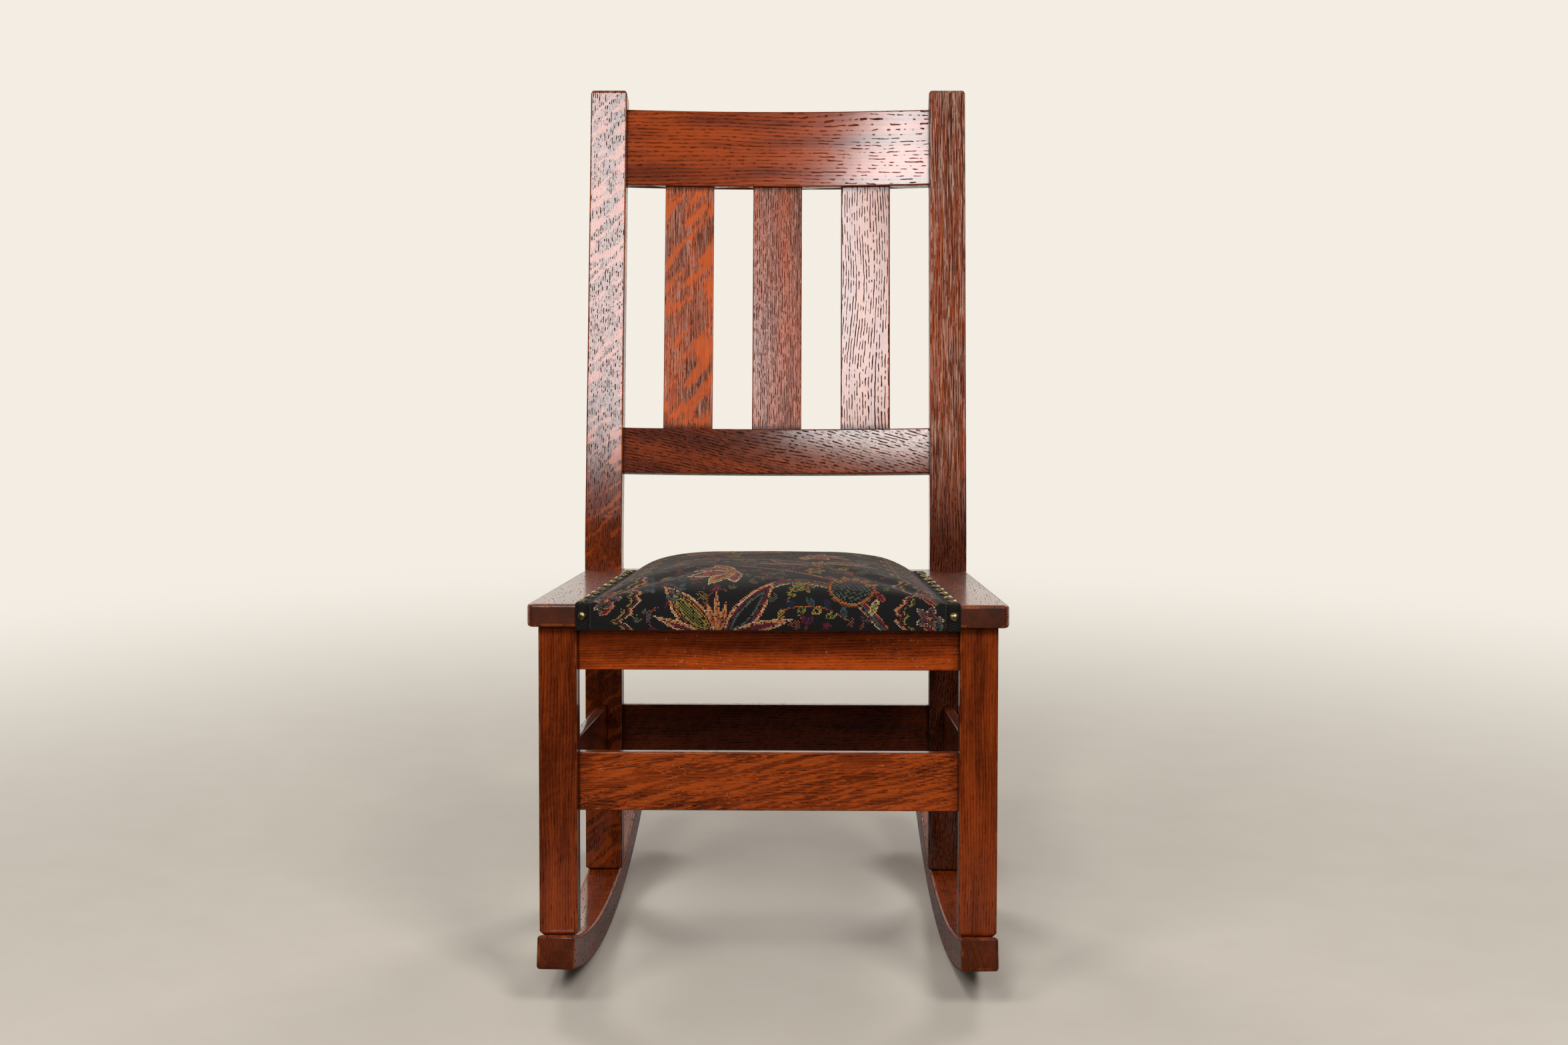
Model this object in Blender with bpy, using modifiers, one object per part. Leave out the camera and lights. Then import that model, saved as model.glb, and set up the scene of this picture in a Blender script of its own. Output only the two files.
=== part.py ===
"""Sewing rocking chair: dark oak frame on two rockers, slatted back, upholstered seat.

Metres, +Z up, +Y to the back. The origin is on the floor, midway along the rockers.
At rest the whole frame leans back by TILT, so legs, seat and stretchers are laid out square
in the leaning chair frame, and the back in a second frame that is raked from it.
"""
import math

import bmesh
import bpy
from mathutils import Euler, Vector

# Fits
FIT_GAP = 0.0003            # clearance round every joint and under every resting piece
CROSS_TENON = 0.009         # depth of the front, back and crest rails in legs and posts
SIDE_TENON = 0.012          # depth of the side rails and side stretchers
SLAT_TENON = 0.008          # depth of the slats in the back rails

# Rest pose and rockers
TILT = math.radians(4.7)
ROCKER_RADIUS = 0.964       # underside
ROCKER_DEPTH = 0.0299
ROCKER_WIDTH = 0.0334
ROCKER_FRONT_REACH = 0.278  # from the floor contact to the front tip
ROCKER_REAR_REACH = 0.335
ROCKER_FLAT = 0.026         # worn flat at the floor contact
ROCKER_ROUND = 0.0028
ROCKER_STEPS = 11           # facets of the curve on each side of the flat

# Front legs
LEG_SECTION = 0.0340
LEG_SPAN = 0.4072           # across the outer faces
LEG_SETBACK = 0.260         # legs' front faces ahead of the floor contact, along the leaning frame
FOOT_CHAMFER = 0.0034

# Rear posts
POST_WIDTH = 0.0364
POST_DEPTH = 0.0330
POST_SPAN = 0.3790          # across the outer faces
POST_DISTANCE = 0.3355      # from the legs' front faces to the posts' front faces
POST_RAKE = math.radians(12.0)
POST_BEND_RADIUS = 0.250
POST_BEND_STEPS = 4
POST_UPRIGHT = 0.4644       # from the bend's corner to the top, along the raked face
POST_TOP_ROUND = 0.0036

# Seat boards
SEAT_HEIGHT = 0.3424        # top of the seat boards above the contact, square to the seat
SEAT_THICKNESS = 0.0206
SEAT_FRONT_WIDTH = 0.4250
SEAT_OVERHANG = 0.0125      # front edge ahead of the legs
SEAT_REAR_LAP = 0.0170      # rear edge behind the posts' front faces
SEAT_CORNER = 0.0060
SEAT_ROUND = 0.0032
PLANK_SHOW = 0.0428         # bare wood beside the upholstery at the front
PLANK_LAP = 0.0300          # plank under the upholstery
CROSS_BOARD_WIDTH = 0.0600

# Seat rails and stretchers
SEAT_RAIL_HEIGHT = 0.0408
SEAT_RAIL_THICKNESS = 0.0160
SIDE_RAIL_THICKNESS = 0.0120
STRETCHER_TOP = 0.2064
STRETCHER_HEIGHT = 0.0526
STRETCHER_THICKNESS = 0.0135
SIDE_STRETCHER_THICKNESS = 0.0095
BACK_RAIL_SETBACK = 0.0090  # back seat rail and back stretcher behind the posts' front faces
ARRIS = 0.0014              # eased edge of the frame pieces
BLOCK_REACH = 0.0300        # corner block along each rail
BLOCK_HEIGHT = 0.0260

# Back
BACK_SETBACK = 0.0090       # rails behind the posts' front faces
BACK_BOW = 0.0085           # how far the rails bow backwards between the posts
BACK_RAIL_THICKNESS = 0.0150
BACK_RAIL_STEPS = 10
CREST_TOP = 0.4463          # up the raked posts from the bend's corner
CREST_HEIGHT = 0.0783
LOWER_RAIL_TOP = 0.1185
LOWER_RAIL_HEIGHT = 0.0455
SLAT_WIDTH = 0.0495
SLAT_THICKNESS = 0.0080
SLAT_PITCH = 0.0892

# Upholstery
PAD_CROWN = 0.0245          # crown above the seat boards
PAD_FRONT_HEIGHT = 0.0125   # height of the front roll above the seat boards
PAD_REAR_CLEAR = 0.0200     # from the pad's rear edge to the posts' front faces
PAD_POST_CLEAR = 0.0080     # bare wood between the pad's sides and the posts' inner faces
PAD_FRONT_ROLL = 0.0700     # length over which the front roll rises to the crown
PAD_REAR_ROLL = 0.0700
PAD_ROLL_POWER = 2.4        # how full the crown is towards the front and rear
PAD_SIDE_POWER = 6.6        # how full the crown is across the seat
PAD_FRONT_DROP = 0.0027     # cover below the seat boards' underside
PAD_FRONT_BELLY = 0.0030
PAD_STUFFING_INSET = 0.0160
COVER_THICKNESS = 0.0012
COVER_COLUMNS = 20
COVER_ROWS = 16
COVER_FRONT_ROWS = 4
STUFFING_CELLS = 10
GIMP_WIDTH = 0.0125
GIMP_THICKNESS = 0.0012
GIMP_BEND = 0.0015          # eased corner where the braid turns down the front
WEBBING_WIDTH = 0.0500
WEBBING_THICKNESS = 0.0012
WEBBING_PITCH = 0.0850
WEBBING_STRAPS = 2          # each way

# Nails and screws
NAIL_RADIUS = 0.0043
NAIL_DOME = 0.0028
NAIL_SHANK_RADIUS = 0.0009
NAIL_LENGTH = 0.0100
NAIL_PITCH = 0.0360
NAIL_FIRST = 0.0085         # from the seat's front edge to the first nail
NAIL_STEPS = 10
SCREW_HEAD_RADIUS = 0.0045
SCREW_HEAD_HEIGHT = 0.0035
SCREW_SHANK_RADIUS = 0.0022
SCREW_LENGTH = 0.0550
SCREW_SINK = 0.0030
SCREW_STEPS = 10

# Finishes: colour, roughness, metallic
OAK = ((0.150, 0.036, 0.013), 0.35, 0.0)
OAK_INSIDE = ((0.105, 0.030, 0.012), 0.60, 0.0)
TAPESTRY = ((0.045, 0.035, 0.032), 0.90, 0.0)
STUFFING = ((0.350, 0.290, 0.200), 0.95, 0.0)
JUTE = ((0.330, 0.230, 0.120), 0.95, 0.0)
BRAID = ((0.012, 0.011, 0.012), 0.85, 0.0)
BRASS = ((0.470, 0.320, 0.110), 0.35, 1.0)
STEEL = ((0.250, 0.245, 0.235), 0.45, 1.0)

# Places worked out from the sizes, in the leaning chair frame
CONTACT_Y = (ROCKER_FRONT_REACH - ROCKER_REAR_REACH) / 2
LEG_FRONT = -LEG_SETBACK
LEG_REAR = LEG_FRONT + LEG_SECTION
LEG_CENTRE_X = (LEG_SPAN - LEG_SECTION) / 2
LEG_INNER_X = LEG_SPAN / 2 - LEG_SECTION
POST_FRONT = LEG_FRONT + POST_DISTANCE
POST_CENTRE_X = (POST_SPAN - POST_WIDTH) / 2
POST_INNER_X = POST_SPAN / 2 - POST_WIDTH
SEAT_FRONT = LEG_FRONT - SEAT_OVERHANG
SEAT_REAR = POST_FRONT + SEAT_REAR_LAP
SEAT_BOTTOM = SEAT_HEIGHT - SEAT_THICKNESS
RAIL_TOP = SEAT_BOTTOM - FIT_GAP
PAD_REAR = POST_FRONT - PAD_REAR_CLEAR
LEG_MIDDLE = LEG_FRONT + LEG_SECTION / 2
POST_MIDDLE = POST_FRONT + POST_DEPTH / 2
TOE = math.atan2(LEG_CENTRE_X - POST_CENTRE_X, POST_MIDDLE - LEG_MIDDLE)
BEND_TANGENT = POST_BEND_RADIUS * math.tan(POST_RAKE / 2)
BOW_RADIUS = (POST_INNER_X ** 2 + BACK_BOW ** 2) / (2 * BACK_BOW)
BOW_CENTRE = BACK_SETBACK + BACK_BOW - BOW_RADIUS
PAD_FRONT_HALF = SEAT_FRONT_WIDTH / 2 - PLANK_SHOW
PAD_POST_HALF = POST_INNER_X - PAD_POST_CLEAR
PAD_TAPER = math.atan2(PAD_FRONT_HALF - PAD_POST_HALF, POST_FRONT - SEAT_FRONT)
GIMP_FRONT_CLEAR = FIT_GAP + GIMP_WIDTH / 2 * math.tan(PAD_TAPER)
TRIM_X = PAD_FRONT_HALF - GIMP_WIDTH / 2
SIDES = (("left", -1), ("right", 1))
UPRIGHT_TURN = math.pi / 2  # turns a side-view outline to stand along Y and Z
SMOOTH_ANGLE = math.radians(35)


def clear_scene():
    for old in list(bpy.data.objects):
        bpy.data.objects.remove(old, do_unlink=True)


clear_scene()
parts = bpy.data.collections.new("sewing_rocking_chair")
cutters = bpy.data.collections.new("joinery_cutters")
bpy.context.scene.collection.children.link(parts)
bpy.context.scene.collection.children.link(cutters)


def add_frame(name, parent, place, lean):
    frame = bpy.data.objects.new(name, None)
    frame.parent = parent
    frame.location = place
    frame.rotation_euler = (-lean, 0, 0)
    parts.objects.link(frame)
    return frame


chair_frame = add_frame("chair_frame", None, (0, CONTACT_Y, 0), TILT)
back_frame = add_frame("back_frame", chair_frame, (0, POST_FRONT, SEAT_HEIGHT + BEND_TANGENT), POST_RAKE)


def make_material(name, finish):
    colour, roughness, metallic = finish
    material = bpy.data.materials.new(name + "_finish")
    material.use_nodes = True
    shader = material.node_tree.nodes["Principled BSDF"]
    shader.inputs["Base Color"].default_value = (*colour, 1)
    shader.inputs["Roughness"].default_value = roughness
    shader.inputs["Metallic"].default_value = metallic
    return material


def add_part(name, mesh, finish, parent, place=(0, 0, 0), turn=(0, 0, 0)):
    part = bpy.data.objects.new(name, mesh)
    part.parent = parent
    part.location = place
    part.rotation_euler = turn
    if not mesh.materials:
        mesh.materials.append(make_material(mesh.name, finish))
        mesh.shade_smooth()
        mesh.set_sharp_from_angle(angle=SMOOTH_ANGLE)
    parts.objects.link(part)
    return part


def add_cutter(name, mesh, parent, place=(0, 0, 0), turn=(0, 0, 0)):
    cutter = bpy.data.objects.new(name, mesh)
    cutter.parent = parent
    cutter.location = place
    cutter.rotation_euler = turn
    cutter.hide_render = True
    cutter.display_type = "WIRE"
    cutters.objects.link(cutter)
    return cutter


def cut(host, cutter):
    cutaway = host.modifiers.new(cutter.name, "BOOLEAN")
    cutaway.operation = "DIFFERENCE"
    cutaway.object = cutter


def soften(part, radius, segments=2):
    easing = part.modifiers.new("eased_edges", "BEVEL")
    easing.width = radius
    easing.segments = segments
    easing.limit_method = "ANGLE"
    easing.angle_limit = math.radians(50)


def thicken(part, thickness, offset):
    """Give a sheet its thickness: outwards with offset 1, inwards with offset -1."""
    sheet = part.modifiers.new("sheet_thickness", "SOLIDIFY")
    sheet.thickness = thickness
    sheet.offset = offset
    sheet.use_even_offset = offset > 0


def face_up(shape):
    bmesh.ops.recalc_face_normals(shape, faces=shape.faces)
    shape.normal_update()
    if sum(face.normal.z * face.calc_area() for face in shape.faces) < 0:
        bmesh.ops.reverse_faces(shape, faces=shape.faces)


def to_mesh(name, shape):
    mesh = bpy.data.meshes.new(name)
    shape.to_mesh(mesh)
    shape.free()
    return mesh


def box_mesh(name, size):
    shape = bmesh.new()
    bmesh.ops.create_cube(shape, size=1)
    bmesh.ops.scale(shape, vec=size, verts=shape.verts)
    return to_mesh(name, shape)


def outline_shape(points, thickness):
    """A flat outline in X and Y, thickened evenly along Z, as a welded bmesh."""
    curve = bpy.data.curves.new("outline", "CURVE")
    curve.dimensions = "2D"
    curve.fill_mode = "BOTH"
    curve.extrude = thickness / 2
    spline = curve.splines.new("POLY")
    spline.points.add(len(points) - 1)
    for knot, (x, y) in zip(spline.points, points):
        knot.co = (x, y, 0, 1)
    spline.use_cyclic_u = True
    drawn = bpy.data.objects.new("outline", curve)
    cutters.objects.link(drawn)
    evaluated = drawn.evaluated_get(bpy.context.evaluated_depsgraph_get())
    filled = bpy.data.meshes.new_from_object(evaluated)
    shape = bmesh.new()
    shape.from_mesh(filled)
    bmesh.ops.remove_doubles(shape, verts=shape.verts, dist=0.000002)
    bmesh.ops.dissolve_limit(shape, angle_limit=math.radians(0.2), verts=shape.verts, edges=shape.edges)
    bmesh.ops.recalc_face_normals(shape, faces=shape.faces)
    bpy.data.objects.remove(drawn, do_unlink=True)
    bpy.data.curves.remove(curve)
    bpy.data.meshes.remove(filled)
    return shape


def outline_mesh(name, points, thickness):
    return to_mesh(name, outline_shape(points, thickness))


def round_face(shape, facing, radius, segments):
    """Bevel the edges round the faces that look along facing."""
    shape.normal_update()
    edges = {edge for face in shape.faces if face.normal.dot(facing) > 0.9 for edge in face.edges}
    bmesh.ops.bevel(shape, geom=list(edges), offset=radius, segments=segments, profile=0.5,
                    affect="EDGES", clamp_overlap=True, material=-1)


def turned_mesh(name, profile, steps):
    """A closed turned shape about Z; the profile runs from the top of the axis down to its foot."""
    shape = bmesh.new()
    knots = [shape.verts.new((radius, 0, height)) for radius, height in profile]
    for upper, lower in zip(knots, knots[1:]):
        shape.edges.new((upper, lower))
    lathe = bpy.data.objects.new("lathe", to_mesh("lathe", shape))
    cutters.objects.link(lathe)
    screw = lathe.modifiers.new("turn", "SCREW")
    screw.steps = steps
    screw.render_steps = steps
    screw.use_merge_vertices = True
    screw.merge_threshold = 0.00001
    evaluated = lathe.evaluated_get(bpy.context.evaluated_depsgraph_get())
    mesh = bpy.data.meshes.new_from_object(evaluated)
    mesh.name = name
    bpy.data.objects.remove(lathe, do_unlink=True)
    return mesh


def circle_height(radius, y):
    """Height, in the chair frame, of a circle about the rockers' centre of curvature."""
    centre_y = -ROCKER_RADIUS * math.sin(TILT)
    centre_z = ROCKER_RADIUS * math.cos(TILT)
    return centre_z - math.sqrt(radius ** 2 - (y - centre_y) ** 2)


def foot_height(y):
    return circle_height(ROCKER_RADIUS - ROCKER_DEPTH, y) + FIT_GAP


def side_centre(y):
    """X of the right side frame's middle plane at y in the chair frame."""
    return LEG_CENTRE_X - (y - LEG_MIDDLE) * math.tan(TOE)


def seat_half(y):
    share = (y - SEAT_FRONT) / (POST_FRONT - SEAT_FRONT)
    return SEAT_FRONT_WIDTH / 2 + share * (POST_SPAN - SEAT_FRONT_WIDTH) / 2


def pad_half(y):
    return PAD_FRONT_HALF - (y - SEAT_FRONT) * math.tan(PAD_TAPER)


def plank_inner(y):
    return pad_half(y) - PLANK_LAP


def make_rocker(name, side):
    """A bent runner between two arcs, flat where it stands on the floor."""
    flat = math.asin(ROCKER_FLAT / 2 / ROCKER_RADIUS)
    front = math.asin(ROCKER_FRONT_REACH / ROCKER_RADIUS)
    rear = math.asin(ROCKER_REAR_REACH / ROCKER_RADIUS)
    angles = [-front + step * (front - flat) / ROCKER_STEPS for step in range(ROCKER_STEPS + 1)]
    angles += [flat + step * (rear - flat) / ROCKER_STEPS for step in range(ROCKER_STEPS + 1)]

    def arc(radius):
        reach = radius / math.cos(flat)
        return [(reach * math.sin(a), ROCKER_RADIUS - reach * math.cos(a)) for a in angles]

    outline = arc(ROCKER_RADIUS) + arc(ROCKER_RADIUS - ROCKER_DEPTH)[::-1]
    place = (side * side_centre(0), CONTACT_Y, 0)
    turn = (UPRIGHT_TURN, 0, UPRIGHT_TURN + side * TOE)
    rocker = add_part(name, outline_mesh(name, outline, ROCKER_WIDTH), OAK, None, place, turn)
    soften(rocker, ROCKER_ROUND)
    return rocker


def make_leg(name, side):
    outline = [(LEG_FRONT, foot_height(LEG_FRONT)), (LEG_REAR, foot_height(LEG_REAR)),
               (LEG_REAR, RAIL_TOP), (LEG_FRONT, RAIL_TOP)]
    shape = outline_shape(outline, LEG_SECTION)
    round_face(shape, Vector((0, -1, 0)), FOOT_CHAMFER, 1)
    place = (side * LEG_CENTRE_X, 0, 0)
    leg = add_part(name, to_mesh(name, shape), OAK, chair_frame, place, (UPRIGHT_TURN, 0, UPRIGHT_TURN))
    soften(leg, ARRIS)
    return leg


def make_post(name, side):
    """A rear leg that runs straight up to the seat and bends back above it."""
    rear = POST_FRONT + POST_DEPTH
    centre_y = POST_FRONT + POST_BEND_RADIUS
    angles = [step * POST_RAKE / POST_BEND_STEPS for step in range(POST_BEND_STEPS + 1)]
    straight = POST_UPRIGHT - BEND_TANGENT

    def face(radius):
        bend = [(centre_y - radius * math.cos(a), SEAT_HEIGHT + radius * math.sin(a)) for a in angles]
        end_y, end_z = bend[-1]
        top = (end_y + straight * math.sin(POST_RAKE), end_z + straight * math.cos(POST_RAKE))
        return bend + [top]

    front_face = [(POST_FRONT, foot_height(POST_FRONT))] + face(POST_BEND_RADIUS)
    rear_face = [(rear, foot_height(rear))] + face(POST_BEND_RADIUS - POST_DEPTH)
    shape = outline_shape(front_face + rear_face[::-1], POST_WIDTH)
    round_face(shape, Vector((0, -1, 0)), FOOT_CHAMFER, 1)
    round_face(shape, Vector((math.sin(POST_RAKE), math.cos(POST_RAKE), 0)), POST_TOP_ROUND, 2)
    place = (side * POST_CENTRE_X, 0, 0)
    post = add_part(name, to_mesh(name, shape), OAK, chair_frame, place, (UPRIGHT_TURN, 0, UPRIGHT_TURN))
    soften(post, ARRIS)
    return post


def make_rail(name, size, parent, place, turn_z, hosts):
    """A straight rail or slat whose ends are housed in its hosts."""
    turn = (0, 0, turn_z)
    rail = add_part(name, box_mesh(name, size), OAK, parent, place, turn)
    soften(rail, ARRIS)
    mortise = box_mesh(name + "_mortise", [side + 2 * FIT_GAP for side in size])
    cutter = add_cutter(name + "_mortise", mortise, parent, place, turn)
    for host in hosts:
        cut(host, cutter)


def make_cross_rails(legs, posts):
    """Front and back seat rails and stretchers, square across the chair."""
    rail_z = RAIL_TOP - SEAT_RAIL_HEIGHT / 2
    stretcher_z = STRETCHER_TOP - STRETCHER_HEIGHT / 2
    levels = (("seat_rail", SEAT_RAIL_THICKNESS, SEAT_RAIL_HEIGHT, rail_z),
              ("stretcher", STRETCHER_THICKNESS, STRETCHER_HEIGHT, stretcher_z))
    for kind, thickness, height, z in levels:
        front_y = LEG_REAR - thickness / 2
        back_y = POST_FRONT + BACK_RAIL_SETBACK + thickness / 2
        front_size = (2 * (LEG_INNER_X + CROSS_TENON), thickness, height)
        back_size = (2 * (POST_INNER_X + CROSS_TENON), thickness, height)
        make_rail("front_" + kind, front_size, chair_frame, (0, front_y, z), 0, legs)
        make_rail("back_" + kind, back_size, chair_frame, (0, back_y, z), 0, posts)


def make_side_rails(name, side, leg, post):
    """Side seat rail and side stretcher, along the line from leg to post."""
    middle_y = (LEG_REAR + POST_FRONT) / 2
    length = (POST_FRONT - LEG_REAR) / math.cos(TOE) + 2 * SIDE_TENON
    turn = math.pi / 2 + side * TOE
    rail_z = RAIL_TOP - SEAT_RAIL_HEIGHT / 2
    stretcher_z = STRETCHER_TOP - STRETCHER_HEIGHT / 2
    middle_x = side * side_centre(middle_y)
    rail_size = (length, SIDE_RAIL_THICKNESS, SEAT_RAIL_HEIGHT)
    stretcher_size = (length, SIDE_STRETCHER_THICKNESS, STRETCHER_HEIGHT)
    rail_place = (middle_x, middle_y, rail_z)
    stretcher_place = (middle_x, middle_y, stretcher_z)
    make_rail(name + "_seat_rail", rail_size, chair_frame, rail_place, turn, (leg, post))
    make_rail(name + "_stretcher", stretcher_size, chair_frame, stretcher_place, turn, (leg, post))


def bow_point(radius, x):
    return (x, BOW_CENTRE + math.sqrt(radius ** 2 - x ** 2))


def bowed_outline(grow):
    """Plan of a back rail with its housed ends, grown on every side by grow."""
    reach = POST_INNER_X + CROSS_TENON + grow
    stations = [-reach + 2 * reach * step / BACK_RAIL_STEPS for step in range(BACK_RAIL_STEPS + 1)]
    front = [bow_point(BOW_RADIUS - grow, x) for x in stations]
    back = [bow_point(BOW_RADIUS + BACK_RAIL_THICKNESS + grow, x) for x in stations]
    return front + back[::-1]


def make_back_rail(name, top, height, posts):
    place = (0, 0, top - height / 2)
    rail = add_part(name, outline_mesh(name, bowed_outline(0), height), OAK, back_frame, place)
    soften(rail, ARRIS)
    mortise = outline_mesh(name + "_mortise", bowed_outline(FIT_GAP), height + 2 * FIT_GAP)
    cutter = add_cutter(name + "_mortise", mortise, back_frame, place)
    for post in posts:
        cut(post, cutter)
    return rail


def make_slat(name, x, rails):
    """A flat slat set square to the bow of the rails."""
    low = LOWER_RAIL_TOP - SLAT_TENON
    high = CREST_TOP - CREST_HEIGHT + SLAT_TENON
    radius = BOW_RADIUS + BACK_RAIL_THICKNESS / 2
    place = (*bow_point(radius, x), (low + high) / 2)
    size = (SLAT_WIDTH, SLAT_THICKNESS, high - low)
    make_rail(name, size, back_frame, place, -math.asin(x / radius), rails)


def make_plank(name, side):
    """A side board of the seat, notched round its post, with a rounded front corner."""
    front_half = seat_half(SEAT_FRONT)
    quarter = [math.radians(a) for a in (-90, -60, -30, 0)]
    corner = [(front_half - SEAT_CORNER + SEAT_CORNER * math.cos(a),
               SEAT_FRONT + SEAT_CORNER + SEAT_CORNER * math.sin(a)) for a in quarter]
    outline = [(plank_inner(SEAT_FRONT), SEAT_FRONT)] + corner
    outline += [(seat_half(SEAT_REAR), SEAT_REAR), (plank_inner(SEAT_REAR), SEAT_REAR)]
    outline = [(side * x, y) for x, y in outline]
    place = (0, 0, SEAT_HEIGHT - SEAT_THICKNESS / 2)
    plank = add_part(name, outline_mesh(name, outline, SEAT_THICKNESS), OAK, chair_frame, place)
    soften(plank, SEAT_ROUND, 3)
    notch = [2 * (size + FIT_GAP) for size in (POST_WIDTH / 2, SEAT_REAR_LAP, SEAT_THICKNESS)]
    notch_place = (side * POST_CENTRE_X, POST_FRONT + SEAT_REAR_LAP, place[2])
    cut(plank, add_cutter(name + "_notch", box_mesh(name + "_notch", notch), chair_frame, notch_place))
    return plank


def make_cross_board(name, front):
    """A board between the planks that closes the seat frame at the front or the rear."""
    rear = front + CROSS_BOARD_WIDTH
    near = plank_inner(front) - FIT_GAP
    far = plank_inner(rear) - FIT_GAP
    outline = [(-near, front), (near, front), (far, rear), (-far, rear)]
    place = (0, 0, SEAT_HEIGHT - SEAT_THICKNESS / 2)
    board = add_part(name, outline_mesh(name, outline, SEAT_THICKNESS), OAK, chair_frame, place)
    soften(board, ARRIS)


def make_corner_block(name, side, rail_face, upright_face, upright_x, along):
    """A glue block in the corner of two seat rails, notched round the leg or post."""
    block_x = upright_x - FIT_GAP
    rail_y = rail_face + along * FIT_GAP
    clear_y = upright_face + along * FIT_GAP
    far_y = clear_y + along * BLOCK_REACH

    def side_face(y):
        return side_centre(y) - SIDE_RAIL_THICKNESS / 2 / math.cos(TOE) - FIT_GAP

    outline = [(block_x, rail_y), (block_x - BLOCK_REACH, rail_y), (side_face(far_y), far_y),
               (side_face(clear_y), clear_y), (block_x, clear_y)]
    outline = [(side * x, y) for x, y in outline]
    place = (0, 0, RAIL_TOP - BLOCK_HEIGHT / 2)
    add_part(name, outline_mesh(name, outline, BLOCK_HEIGHT), OAK_INSIDE, chair_frame, place)


def pad_height(across, y):
    """Height of the upholstery above the seat boards; across runs from -1 to 1."""
    front = min(1, max(0, (y - SEAT_FRONT) / PAD_FRONT_ROLL))
    rear = min(1, max(0, (PAD_REAR - y) / PAD_REAR_ROLL))
    ridge = PAD_FRONT_HEIGHT + (PAD_CROWN - PAD_FRONT_HEIGHT) * (1 - (1 - front) ** PAD_ROLL_POWER)
    return ridge * (1 - abs(across) ** PAD_SIDE_POWER) * (1 - (1 - rear) ** PAD_ROLL_POWER)


def cover_half(y):
    return pad_half(y) - GIMP_WIDTH - FIT_GAP


def make_cover():
    """Woven cover: a domed sheet over the stuffing that rolls down over the front edge."""
    shape = bmesh.new()
    rows = COVER_ROWS + COVER_FRONT_ROWS
    bmesh.ops.create_grid(shape, x_segments=COVER_COLUMNS, y_segments=rows, size=1)
    lift = SEAT_HEIGHT + FIT_GAP + COVER_THICKNESS
    front = SEAT_FRONT - FIT_GAP - COVER_THICKNESS
    hem = SEAT_BOTTOM - PAD_FRONT_DROP
    for knot in shape.verts:
        across = knot.co.x
        row = (1 - knot.co.y) / 2 * rows
        if row <= COVER_ROWS:
            y = PAD_REAR + (front - PAD_REAR) * row / COVER_ROWS
            z = lift + pad_height(across, y)
        else:
            drop = (row - COVER_ROWS) / COVER_FRONT_ROWS
            edge = lift + pad_height(across, front)
            y = front - PAD_FRONT_BELLY * (1 - across ** 2) * math.sin(math.pi * drop)
            z = edge + (hem - edge) * drop
        knot.co = (across * cover_half(max(y, SEAT_FRONT)), y, z)
    face_up(shape)
    cover = add_part("seat_cover", to_mesh("seat_cover", shape), TAPESTRY, chair_frame)
    thicken(cover, COVER_THICKNESS, -1)


def make_stuffing(floor):
    """Hair stuffing: a crowned pad between the webbing and the cover."""
    shape = bmesh.new()
    bmesh.ops.create_grid(shape, x_segments=STUFFING_CELLS, y_segments=STUFFING_CELLS, size=1)
    rear = PAD_REAR - PAD_STUFFING_INSET
    under_cover = 2 * COVER_THICKNESS
    for knot in shape.verts:
        y = SEAT_FRONT + (rear - SEAT_FRONT) * (1 + knot.co.y) / 2
        half = cover_half(y) - PAD_STUFFING_INSET
        x = knot.co.x * half
        z = SEAT_HEIGHT + pad_height(x / cover_half(y), y) - under_cover
        knot.co = (x, y, max(z, floor + FIT_GAP))
    lifted = bmesh.ops.extrude_face_region(shape, geom=shape.faces[:])
    for knot in lifted["geom"]:
        if isinstance(knot, bmesh.types.BMVert):
            knot.co.z = floor
    bmesh.ops.recalc_face_normals(shape, faces=shape.faces)
    add_part("seat_stuffing", to_mesh("seat_stuffing", shape), STUFFING, chair_frame)


def make_webbing():
    """Jute straps tacked on the seat boards across the opening; returns the height of their top."""
    front = SEAT_FRONT + PAD_STUFFING_INSET
    rear = PAD_REAR - PAD_STUFFING_INSET
    middle = (front + rear) / 2
    lower = SEAT_HEIGHT + FIT_GAP + WEBBING_THICKNESS / 2
    upper = lower + WEBBING_THICKNESS + FIT_GAP
    reach = 2 * (cover_half(rear) - PAD_STUFFING_INSET)
    rows = (("webbing_lengthwise", (WEBBING_WIDTH, rear - front, WEBBING_THICKNESS), lower, 0),
            ("webbing_crosswise", (reach, WEBBING_WIDTH, WEBBING_THICKNESS), upper, 1))
    for name, size, z, axis in rows:
        mesh = box_mesh(name, size)
        for number in range(WEBBING_STRAPS):
            place = [0, middle, z]
            place[axis] += (number - (WEBBING_STRAPS - 1) / 2) * WEBBING_PITCH
            add_part(f"{name}_{number + 1}", mesh, JUTE, chair_frame, place)
    return upper + WEBBING_THICKNESS / 2 + FIT_GAP


def nail_mesh(name):
    dome = [math.radians(a) for a in (90, 60, 30, 0)]
    profile = [(NAIL_RADIUS * math.cos(a), NAIL_DOME * math.sin(a)) for a in dome]
    profile[0] = (0, NAIL_DOME)
    profile += [(NAIL_SHANK_RADIUS, 0), (NAIL_SHANK_RADIUS, -NAIL_LENGTH), (0, -NAIL_LENGTH)]
    return turned_mesh(name, profile, NAIL_STEPS)


def nail_hole_mesh(name):
    radius = NAIL_SHANK_RADIUS + FIT_GAP
    deep = -NAIL_LENGTH - FIT_GAP
    profile = [(0, NAIL_DOME), (radius, NAIL_DOME), (radius, deep), (0, deep)]
    return turned_mesh(name, profile, NAIL_STEPS)


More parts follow.
